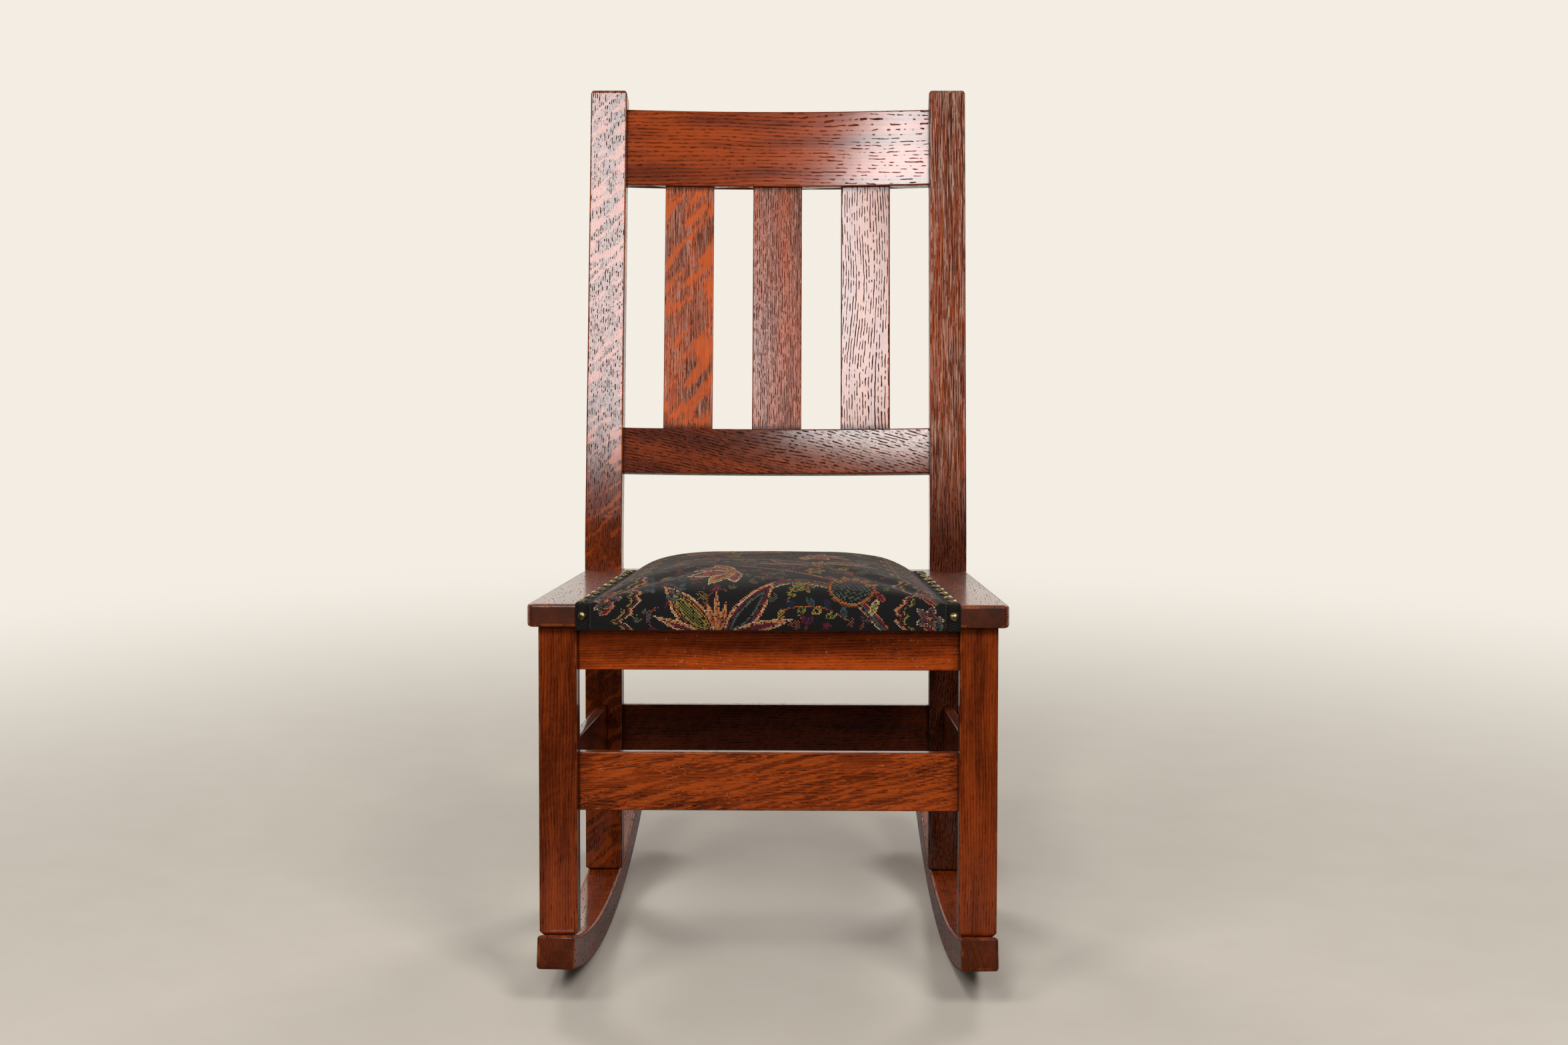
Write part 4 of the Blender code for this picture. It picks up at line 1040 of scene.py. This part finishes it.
    def fill_ground(self, chance):
        """Small muted leaves and buds wherever the ground is still bare."""
        side = CLOTH_WIDTH / 2 - FILL_MARGIN
        for up in np.arange(FILL_START, CLOTH_LENGTH, FILL_STEP):
            for right in np.arange(-side, side, FILL_STEP):
                place = (right + chance.uniform(-FILL_STRAY, FILL_STRAY),
                         up + chance.uniform(-FILL_STRAY, FILL_STRAY))
                heading = chance.uniform(0, 360)
                first, second = chance.choice(MUTED, 2)
                kind = chance.integers(3)
                near = np.hypot(self.across - place[0], self.along - place[1]) < FILL_CLEAR
                if (self.threads[near] > 0).mean() > FILL_BUSY:
                    continue
                if kind == 0:
                    self.rosette(place, FILL_BUD, 5, ((1.0, first), (0.5, second)))
                    continue
                for turn in (-FILL_TURN, FILL_TURN):
                    self.leaf(place, heading + turn, *FILL_LEAF, ((0, first), (LEAF_RIM, second)))
                if kind == 2:
                    self.leaf(place, heading + 180, *FILL_TAIL, ((0, "rust+ground"),))


# Colours of the motifs, in bands from the edge or along a stem, in millimetres or shares of the size.
MUTED = ("burgundy", "teal", "navy", "mauve+ground", "sage+ground", "olive+ground", "rust+ground")
GILDED = ((0, "orange+cream"), (1.5, "orange"), (2.9, "ground"), (4.0, "rust+gold"), (5.4, "ground"),
          (6.4, "olive+gold"), (8.6, "olive+ground"))
OUTLINED = ((0, "orange"), (1.5, "orange+cream"), (2.6, "burgundy"), (5.0, "ground"), (6.0, "teal+sage"),
            (8.0, "ground"))
FLAME = ((0, "orange"), (1.6, "rust"))
LONG_LEAF = ((0, "cream+orange"), (1.5, "orange"), (2.9, "burgundy"))
PETAL = ((0, "cream"), (1.5, "cream+burgundy"), (3.0, "burgundy"), (5.0, "rust"))
PETAL_GOLD = ((0, "cream"), (1.4, "gold"), (3.6, "orange"), (5.4, "rust"))
TWO_TONE = ((-4.6, -3.3, "orange+cream"), (-3.3, 0.2, "teal+sage"), (0.2, 2.4, "burgundy"),
            (2.4, 3.7, "orange+rust"))
SLIM = ((-1.6, -0.4, "burgundy"), (-0.4, 1.5, "orange"))
LILY_PETALS = ((-78, 0.8, PETAL_GOLD), (78, 0.8, PETAL), (-40, 1.0, PETAL), (40, 1.0, PETAL_GOLD),
               (0, 1.1, PETAL))
FRUIT_BANDS = ((1.06, "rust+ground"), (0.98, "gold+rust"), (0.86, "ground"), (0.81, "teal+sage"))
BORDER_BANDS = ((-1.3, "orange+ground"), (0, "cream+orange"), (1.3, "orange+ground"),
                (2.6, "burgundy"), (4.6, "ground"), (6.4, "olive+gold"), (8.2, "olive+ground"),
                (9.8, "ground"))
BLOSSOM = ((1.0, "cream+mauve"), (0.88, "mauve"), (0.70, "mauve+ground"), (0.42, "burgundy"),
           (0.2, "gold"))
SPRAYS = (((-6, 6), 1), ((10, 128), -1), ((-10, 250), 1))


def lay_spray(cloth, place, mirror):
    """The main spray: a pair of broad leaves, an arched stem, a lily, a fruit and small twigs."""
    def spot(right, up):
        return (place[0] + mirror * right, place[1] + up)

    def way(heading):
        return heading if mirror > 0 else 180 - heading

    cloth.stem((spot(-8, 22), spot(20, 64), spot(62, 54), spot(112, -8)), TWO_TONE)
    cloth.stem((spot(-22, 96), spot(18, 82), spot(42, 68), spot(98, 26)), SLIM)
    cloth.garland((spot(78, 2), spot(60, 16), spot(46, 20), spot(16, 12)), 11,
                  ("teal", "olive", "navy", "gold"))
    cloth.garland((spot(-112, 56), spot(-98, 72), spot(-84, 72), spot(-62, 52)), 14,
                  ("olive", "teal", "rust", "gold", "mauve"))
    cloth.garland((spot(34, 108), spot(50, 96), spot(64, 98), spot(90, 84)), 13,
                  ("mauve", "gold", "rust", "sage"))
    cloth.leaf(spot(-42, -8), way(133), 64, 25, GILDED, 3 * mirror)
    cloth.leaf(spot(-32, -10), way(52), 70, 24, OUTLINED, -3 * mirror)
    for turn, reach in ((112, 30), (94, 40), (76, 30)):
        cloth.leaf(spot(-37, -8), way(turn), reach, 5.5, FLAME)
    cloth.leaf(spot(-26, -8), way(13), 56, 11, LONG_LEAF)
    cloth.leaf(spot(-52, -10), way(158), 46, 9, LONG_LEAF)
    cloth.lily(spot(-28, 75), way(200), 39)
    cloth.fruit(spot(80, 37), way(76), 21)
    cloth.sprig(spot(24, 20), way(70), 22, ("gold", "olive", "gold+ground"))
    cloth.sprig(spot(-84, 14), way(62), 26, ("burgundy", "teal", "mauve"))
    cloth.rosette(spot(48, 78), 10.5, 6, ((1.0, "gold"), (0.66, "sage"), (0.34, "burgundy")))
    cloth.rosette(spot(40, 38), 8.5, 5, ((1.0, "olive"), (0.62, "gold+ground"), (0.34, "burgundy")))
    cloth.leaf(spot(64, 60), way(210), 13, 8, ((0, "burgundy"), (1.8, "mauve")))
    cloth.leaf(spot(96, 8), way(64), 18, 7, ((0, "cream+gold"), (1.6, "olive")))
    cloth.leaf(spot(108, 20), way(120), 15, 7, ((0, "rust"), (1.6, "burgundy")))


def weave(pad):
    """Gives every stitch of the cover the colour of its thread."""
    mesh = pad.data
    corner_count = len(mesh.loops)
    places = np.zeros(2 * corner_count)
    mesh.uv_layers["cloth"].uv.foreach_get("vector", places)
    places = places.reshape(-1, 2)
    starts = np.zeros(len(mesh.polygons), dtype=int)
    mesh.polygons.foreach_get("loop_start", starts)
    sizes = np.zeros(len(mesh.polygons), dtype=int)
    mesh.polygons.foreach_get("loop_total", sizes)
    centres = np.add.reduceat(places, starts, axis=0) / sizes[:, None]
    columns = np.floor(centres[:, 0] * PAD_COLUMNS * STITCHES)
    rows = np.floor(centres[:, 1] * PAD_ROWS * STITCHES)
    turns = np.mod(columns + rows, 2) == 0
    cloth = Weaver((centres[:, 0] - 0.5) * CLOTH_WIDTH, centres[:, 1] * CLOTH_LENGTH, turns)
    for place, mirror in SPRAYS:
        lay_spray(cloth, place, mirror)
    for _, side in SIDES:
        cloth.border(side)
    chance = np.random.default_rng(STITCH_SEED)
    cloth.fill_ground(chance)
    bare = chance.random(centres.shape[0]) < STITCH_DROPPED
    cloth.lay(bare, "ground")
    colours = np.array([THREADS[name] for name in THREAD_NAMES])[cloth.threads]
    colours *= chance.uniform(*STITCH_SHADES, centres.shape[0])[:, None]
    stitches = np.ones((corner_count, 4), dtype=np.float32)
    stitches[:, :3] = np.repeat(colours, sizes, axis=0)
    layer = mesh.attributes.new("thread", "FLOAT_COLOR", "CORNER")
    layer.data.foreach_set("color", stitches.ravel())


GROUND_RIB = (0.014, 0.0125, 0.0125, 1)
STITCH_SIDE = (0.50, 0.30)
STITCH_END = (0.52, 0.24)
STITCH_COVER = (0.65, 1.15)
STITCH_RELIEF = 0.6
STITCH_DEPTH = 0.0004
FUZZ = (900.0, 260.0, 1.0)
FUZZ_HEIGHT = (0.0, 0.5)
TAPESTRY_FINISH = {"Roughness": 0.85, "Specular IOR Level": 0.15, "Sheen Weight": 0.10,
                   "Sheen Roughness": 0.45, "Sheen Tint": (0.80, 0.72, 0.64, 1)}


def make_tapestry():
    """Woven cover: short stitches in coloured thread on a black ribbed ground."""
    material, graph, shader = new_material("tapestry")
    cloth = graph.add("ShaderNodeUVMap", uv_map="cloth").outputs[0]
    count = (PAD_COLUMNS * STITCHES, PAD_ROWS * STITCHES, 1)
    column, row, _ = graph.split(graph.stretch(cloth, count))
    odd = graph.times(graph.math("FLOORED_MODULO", graph.math("FLOOR", row), 2.0), 0.5)
    from_side = graph.fold(graph.plus(column, odd))
    dash = graph.times(graph.band(from_side, *STITCH_SIDE), graph.band(graph.fold(row), *STITCH_END))
    fuzz = graph.noise(graph.stretch(cloth, FUZZ), detail=3.0, roughness=0.6)
    ground = graph.mix(fuzz, (*THREADS["ground"], 1), GROUND_RIB)
    share = graph.times(dash, graph.span(fuzz, *STITCH_COVER))
    height = graph.plus(dash, graph.span(fuzz, *FUZZ_HEIGHT))
    graph.dress(shader, {
        "Base Color": graph.mix(share, ground, graph.attribute("thread", "Color")),
        "Normal": graph.bump(height, STITCH_RELIEF, STITCH_DEPTH),
        **TAPESTRY_FINISH,
    })
    return material


CAMBRIC_PITCH = 0.0011
CAMBRIC_LOW = (0.006, 0.006, 0.006, 1)
CAMBRIC_HIGH = (0.030, 0.028, 0.026, 1)
JUTE_PITCH = 0.0022
JUTE_LOW = (0.150, 0.090, 0.040, 1)
JUTE_HIGH = (0.420, 0.300, 0.160, 1)
WEAVE_FUZZ = (0.9, 0.9, 0.9)
WEAVE_SHADE = 0.28
WEAVE_ROUGHNESS = 0.9
WEAVE_RELIEF = 0.7


def make_weave(name, pitch, low, high):
    """Plain woven cloth on the seat's own axes."""
    material, graph, shader = new_material(name)
    place = graph.laid((0, 0, 0), LEAN.to_euler(), pitch / (2 * math.pi))
    x, y, _ = graph.split(place)
    waves = graph.times(graph.math("SINE", x), graph.math("SINE", y))
    fuzz = graph.noise(graph.stretch(place, WEAVE_FUZZ), detail=3.0, roughness=0.6)
    share = graph.plus(graph.times(waves, WEAVE_SHADE), fuzz)
    graph.dress(shader, {
        "Base Color": graph.mix(share, low, high),
        "Roughness": WEAVE_ROUGHNESS,
        "Normal": graph.bump(share, WEAVE_RELIEF, pitch / 4),
    })
    return material


tapestry = make_tapestry()
cambric = make_weave("underside_cambric", CAMBRIC_PITCH, CAMBRIC_LOW, CAMBRIC_HIGH)
jute = make_weave("jute_webbing", JUTE_PITCH, JUTE_LOW, JUTE_HIGH)

BRASS_PATCH = (420, 420, 420)
BRASS_RUBBED = (0.35, 0.65)
BRASS_DULL = (0.09, 0.064, 0.028, 1)
BRASS_BRIGHT = (0.35, 0.265, 0.13, 1)
BRASS_ROUGHNESS = (0.46, 0.22)
STEEL_PATCH = (300, 300, 300)
STEEL_DULL = (0.16, 0.14, 0.13, 1)
STEEL_BRIGHT = (0.34, 0.33, 0.32, 1)
STEEL_ROUGHNESS = (0.65, 0.30)


def make_brass():
    """Old brass: dull in patches, brighter where it is rubbed."""
    material, graph, shader = new_material("nail_brass")
    patch = graph.noise(graph.stretch(graph.own_point(), BRASS_PATCH), detail=3.0, roughness=0.6)
    graph.dress(shader, {
        "Base Color": graph.mix(graph.band(patch, *BRASS_RUBBED), BRASS_DULL, BRASS_BRIGHT),
        "Roughness": graph.span(patch, *BRASS_ROUGHNESS),
        "Metallic": 1.0,
    })
    return material


def make_steel():
    """Blued screw steel with dull patches."""
    material, graph, shader = new_material("screw_steel")
    patch = graph.noise(graph.stretch(graph.own_point(), STEEL_PATCH), detail=4.0, roughness=0.6)
    graph.dress(shader, {
        "Base Color": graph.mix(patch, STEEL_DULL, STEEL_BRIGHT),
        "Roughness": graph.span(patch, *STEEL_ROUGHNESS),
        "Metallic": 1.0,
    })
    return material


BRAID_DEEP = (0.0026, 0.0025, 0.0025, 1)
# Painted highlight on the crests of the braid's ridges.
BRAID_PAINTED_GLINT = (0.022, 0.020, 0.017, 1)
BRAID_STRANDS = (1400, 1400, 1400)
BRAID_CREST = (0.45, 1.0)
BRAID_LIT = (0.35, 0.75)
BRAID_RELIEF = 0.5
BRAID_DEPTH = 0.0002
BRAID_FINISH = {"Roughness": 0.62, "Specular IOR Level": 0.10, "Sheen Weight": 0.03,
                "Sheen Roughness": 0.4, "Sheen Tint": (0.85, 0.76, 0.62, 1)}


def make_braid_black():
    """Black gimp thread with a few painted grey highlights on its ridges."""
    material, graph, shader = new_material("braid_black")
    strands = graph.noise(graph.stretch(graph.own_point(), BRAID_STRANDS), detail=3.0, roughness=0.6)
    crest = graph.band(graph.attribute("ridge"), *BRAID_CREST)
    share = graph.times(crest, graph.band(strands, *BRAID_LIT))
    graph.dress(shader, {
        "Base Color": graph.mix(share, BRAID_DEEP, BRAID_PAINTED_GLINT),
        "Normal": graph.bump(strands, BRAID_RELIEF, BRAID_DEPTH),
        **BRAID_FINISH,
    })
    return material


BRAID_COLUMNS = 22
BRAID_STEP = 0.00065
BRAID_BEND = 0.0015
BRAID_CORD = 0.28           # share of the half width that each edge cord takes
BRAID_TWIST = 0.0024
BRAID_RIDGE = 0.0027
BRAID_LOW = 0.0006
BRAID_ROUND = 0.8
CORD_FOOT = 0.25            # height of a cord's sides, as a share of its thickness
CORD_TWIST = 0.15


def braid_height(across, along):
    """Thickness of the braid: a twisted cord along each edge and slanted ridges between."""
    aside = abs(across)
    if aside > 1 - BRAID_CORD:
        round_share = (aside - 1 + BRAID_CORD / 2) / (BRAID_CORD / 2)
        twist = 1 - CORD_TWIST + CORD_TWIST * math.cos(2 * math.pi * along / BRAID_TWIST)
        arch = math.sqrt(max(0.0, 1 - round_share ** 2))
        return GIMP_THICKNESS * (CORD_FOOT + (1 - CORD_FOOT) * twist * arch)
    slant = 2 * math.pi * (along + aside * GIMP_WIDTH / 3) / BRAID_RIDGE
    return BRAID_LOW + (GIMP_THICKNESS - BRAID_LOW) * (0.5 + 0.5 * math.cos(slant)) ** BRAID_ROUND


def braid_place(along, lift):
    """A place over the braid's centre line, from the foot of the front edge up and rearwards."""
    under = SEAT_HEIGHT + FIT_GAP
    front_run = under - BRAID_BEND - PAD_HEM
    turn = (along - front_run) / BRAID_BEND
    if turn < 0:
        return -GIMP_FRONT_CLEAR - lift, PAD_HEM + along
    if turn < math.pi / 2:
        radius = BRAID_BEND + lift
        y = BRAID_BEND - GIMP_FRONT_CLEAR - radius * math.cos(turn)
        return y, under - BRAID_BEND + radius * math.sin(turn)
    run = along - front_run - BRAID_BEND * math.pi / 2
    return BRAID_BEND - GIMP_FRONT_CLEAR + run, under + lift


def make_braid(name, side, material):
    """Gimp braid along one side of the pad and down the seat's front edge."""
    rear = (PAD_REAR - SEAT_FRONT) / math.cos(PAD_TAPER)
    front_run = SEAT_HEIGHT + FIT_GAP - BRAID_BEND - PAD_HEM
    length = front_run + BRAID_BEND * math.pi / 2 + rear - BRAID_BEND + GIMP_FRONT_CLEAR
    rows = round(length / BRAID_STEP)
    shape = bmesh.new()
    bmesh.ops.create_grid(shape, x_segments=BRAID_COLUMNS, y_segments=rows, size=1)
    ridge = shape.verts.layers.float.new("ridge")
    lifted = bmesh.ops.extrude_face_region(shape, geom=shape.faces[:], use_keep_orig=True)
    top = {knot for knot in lifted["geom"] if isinstance(knot, bmesh.types.BMVert)}
    for knot in shape.verts:
        across = knot.co.x
        along = (1 + knot.co.y) / 2 * length
        lift = braid_height(across, along) if knot in top else 0.0
        knot[ridge] = lift / GIMP_THICKNESS
        y, z = braid_place(along, lift)
        knot.co = (across * GIMP_WIDTH / 2, y, z)
    bmesh.ops.recalc_face_normals(shape, faces=shape.faces)
    shape.transform(LEAN @ Matrix.Translation((side * TRIM_X, SEAT_FRONT, 0))
                    @ Matrix.Rotation(side * PAD_TAPER, 4, "Z"))
    to_object(name + "_braid", shape, material, "braid", name + "_gimp")


NAIL_DENTS = 11
NAIL_FLAT = 0.86
NAIL_SEED = 23
NAIL_DENT_RISE = (0.15, 1.0)


def make_nail(name, place, chance, material):
    """A hammered brass nail head."""
    shape = bmesh.new()
    bmesh.ops.create_icosphere(shape, subdivisions=3, radius=1)
    for _ in range(NAIL_DENTS):
        turn = chance.uniform(0, 2 * math.pi)
        rise = chance.uniform(*NAIL_DENT_RISE)
        level = math.sqrt(1 - rise ** 2)
        way = Vector((level * math.cos(turn), level * math.sin(turn), rise))
        for knot in shape.verts:
            over = knot.co.dot(way) - NAIL_FLAT
            if over > 0:
                knot.co -= way * over
    everything = shape.verts[:] + shape.edges[:] + shape.faces[:]
    bmesh.ops.bisect_plane(shape, geom=everything, plane_co=(0, 0, 0), plane_no=(0, 0, 1),
                           clear_inner=True)
    rim = [edge for edge in shape.edges if edge.is_boundary]
    bmesh.ops.edgeloop_fill(shape, edges=rim)
    bmesh.ops.recalc_face_normals(shape, faces=shape.faces)
    bmesh.ops.scale(shape, verts=shape.verts, vec=(NAIL_RADIUS, NAIL_RADIUS, NAIL_DOME))
    shape.transform(place)
    to_object(name + "_head", shape, material, "brass", name)


def make_trim():
    """Braid and nails on both sides of the pad."""
    black = make_braid_black()
    brass = make_brass()
    chance = random.Random(NAIL_SEED)
    head = SEAT_HEIGHT + GIMP_THICKNESS + 2 * FIT_GAP
    for name, side in SIDES:
        make_braid(name, side, black)
        taper = side * PAD_TAPER
        along = Vector((-math.sin(taper), math.cos(taper), 0))
        start = Vector((side * TRIM_X, SEAT_FRONT, head))
        for number in range(NAILS_PER_SIDE):
            place = start + along * (NAIL_FIRST + number * NAIL_PITCH)
            make_nail(f"{name}_nail_{number + 1}", LEAN @ Matrix.Translation(place), chance, brass)
        place = Vector((side * TRIM_X, SEAT_FRONT, (SEAT_HEIGHT + SEAT_BOTTOM) / 2))
        place -= along * (GIMP_FRONT_CLEAR + GIMP_THICKNESS + FIT_GAP)
        turn = Euler((math.pi / 2, 0, taper)).to_matrix().to_4x4()
        make_nail(name + "_front_nail", LEAN @ Matrix.Translation(place) @ turn, chance, brass)


def finish_hidden_parts():
    """Webbing and screws keep their solids and get their own cloth and steel."""
    steel = make_steel()
    for name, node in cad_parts.items():
        if name.startswith("webbing"):
            material = jute
        elif name.endswith("screw"):
            material = steel
        else:
            continue
        node.data.materials.clear()
        node.data.materials.append(material)


FLOOR_REACH = 30.0
FLOOR_NEAR = 0.6
FLOOR_FAR = 2.2
FLOOR_CELLS = 8
FLOOR_GRIT = (14, 14, 14)
FLOOR_ROUGHNESS = 0.8
FLOOR_BEHIND = (-0.8, 0.4)
SKY_BEHIND = (-0.35, 0.25)
FLOOR_LOW = (0.58, 0.52, 0.44, 1)
FLOOR_HIGH = (0.64, 0.58, 0.50, 1)
FLOOR_BOUNCE = (0.17, 0.16, 0.145, 1)
ROOM_DARK = (0.030, 0.027, 0.024, 1)
WORLD_LIGHT = (0.09, 0.088, 0.085, 1)


def seen_directly(graph):
    """1 for what the camera, a mirror or a glass shows."""
    path = graph.add("ShaderNodeLightPath").outputs
    shown = graph.math("MAXIMUM", path["Is Camera Ray"], path["Is Glossy Ray"])
    return path, graph.math("MAXIMUM", shown, path["Is Transmission Ray"])


def backdrop_colour(graph, path, behind):
    """Pale background; in reflections it is dark on the viewer's side, as in a studio."""
    room = graph.mix(behind, ROOM_DARK, BACKGROUND)
    return graph.mix(path["Is Camera Ray"], room, BACKGROUND)


def make_floor():
    """Pale floor that keeps the chair's shadow and fades into the pale background."""
    shape = bmesh.new()
    bmesh.ops.create_grid(shape, x_segments=FLOOR_CELLS, y_segments=FLOOR_CELLS, size=FLOOR_REACH)
    mesh = bpy.data.meshes.new("floor")
    shape.to_mesh(mesh)
    shape.free()
    floor = bpy.data.objects.new("floor", mesh)
    bpy.context.scene.collection.objects.link(floor)
    material, graph, shader = new_material("pale_floor")
    mesh.materials.append(material)
    place = graph.own_point()
    path, shown = seen_directly(graph)
    grit = graph.noise(graph.stretch(place, FLOOR_GRIT), detail=4.0, roughness=0.6)
    pale = graph.mix(grit, FLOOR_LOW, FLOOR_HIGH)
    graph.dress(shader, {"Base Color": graph.mix(path["Is Camera Ray"], FLOOR_BOUNCE, pale),
                         "Roughness": FLOOR_ROUGHNESS})
    distance = graph.add("ShaderNodeVectorMath", {0: place}, operation="LENGTH").outputs["Value"]
    away = graph.band(distance, FLOOR_NEAR, FLOOR_FAR)
    behind = graph.band(graph.split(place)[1], *FLOOR_BEHIND)
    glow = graph.add("ShaderNodeEmission", {"Color": backdrop_colour(graph, path, behind)})
    shares = {0: graph.times(away, shown), 1: shader.outputs[0], 2: glow.outputs[0]}
    blend = graph.add("ShaderNodeMixShader", shares)
    output = material.node_tree.nodes["Material Output"]
    graph.feed(output.inputs["Surface"], blend.outputs[0])


def make_world():
    world = bpy.data.worlds.new("studio")
    world.use_nodes = True
    bpy.context.scene.world = world
    graph = Graph(world.node_tree)
    sky = world.node_tree.nodes["Background"]
    heading = graph.add("ShaderNodeTexCoord").outputs["Generated"]
    behind = graph.band(graph.split(heading)[1], *SKY_BEHIND)
    path, shown = seen_directly(graph)
    seen = backdrop_colour(graph, path, behind)
    graph.feed(sky.inputs["Color"], graph.mix(shown, WORLD_LIGHT, seen))


def make_lamps():
    for name, place, aim, size, roll, power in LAMPS:
        lamp = bpy.data.lights.new(name, "AREA")
        lamp.shape = "RECTANGLE"
        lamp.size, lamp.size_y = size
        lamp.energy = power
        holder = bpy.data.objects.new(name, lamp)
        holder.location = place
        facing = (Vector(aim) - Vector(place)).to_track_quat("-Z", "Y").to_matrix()
        holder.rotation_euler = (facing @ Matrix.Rotation(roll, 3, "Z")).to_euler()
        holder.visible_glossy = name not in UNMIRRORED
        bpy.context.scene.collection.objects.link(holder)


def make_camera():
    camera = bpy.data.cameras.new("photo_camera")
    camera.lens = CAMERA_LENS
    camera.sensor_width = CAMERA_SENSOR
    holder = bpy.data.objects.new("photo_camera", camera)
    holder.location = CAMERA_PLACE
    holder.rotation_euler = CAMERA_TURN
    bpy.context.scene.collection.objects.link(holder)
    bpy.context.scene.camera = holder


bpy.context.scene.view_settings.view_transform = "Standard"
make_camera()
make_lamps()
make_world()
make_floor()
make_woodwork()
weave(make_pad())
make_trim()
finish_hidden_parts()

bpy.context.view_layer.update()
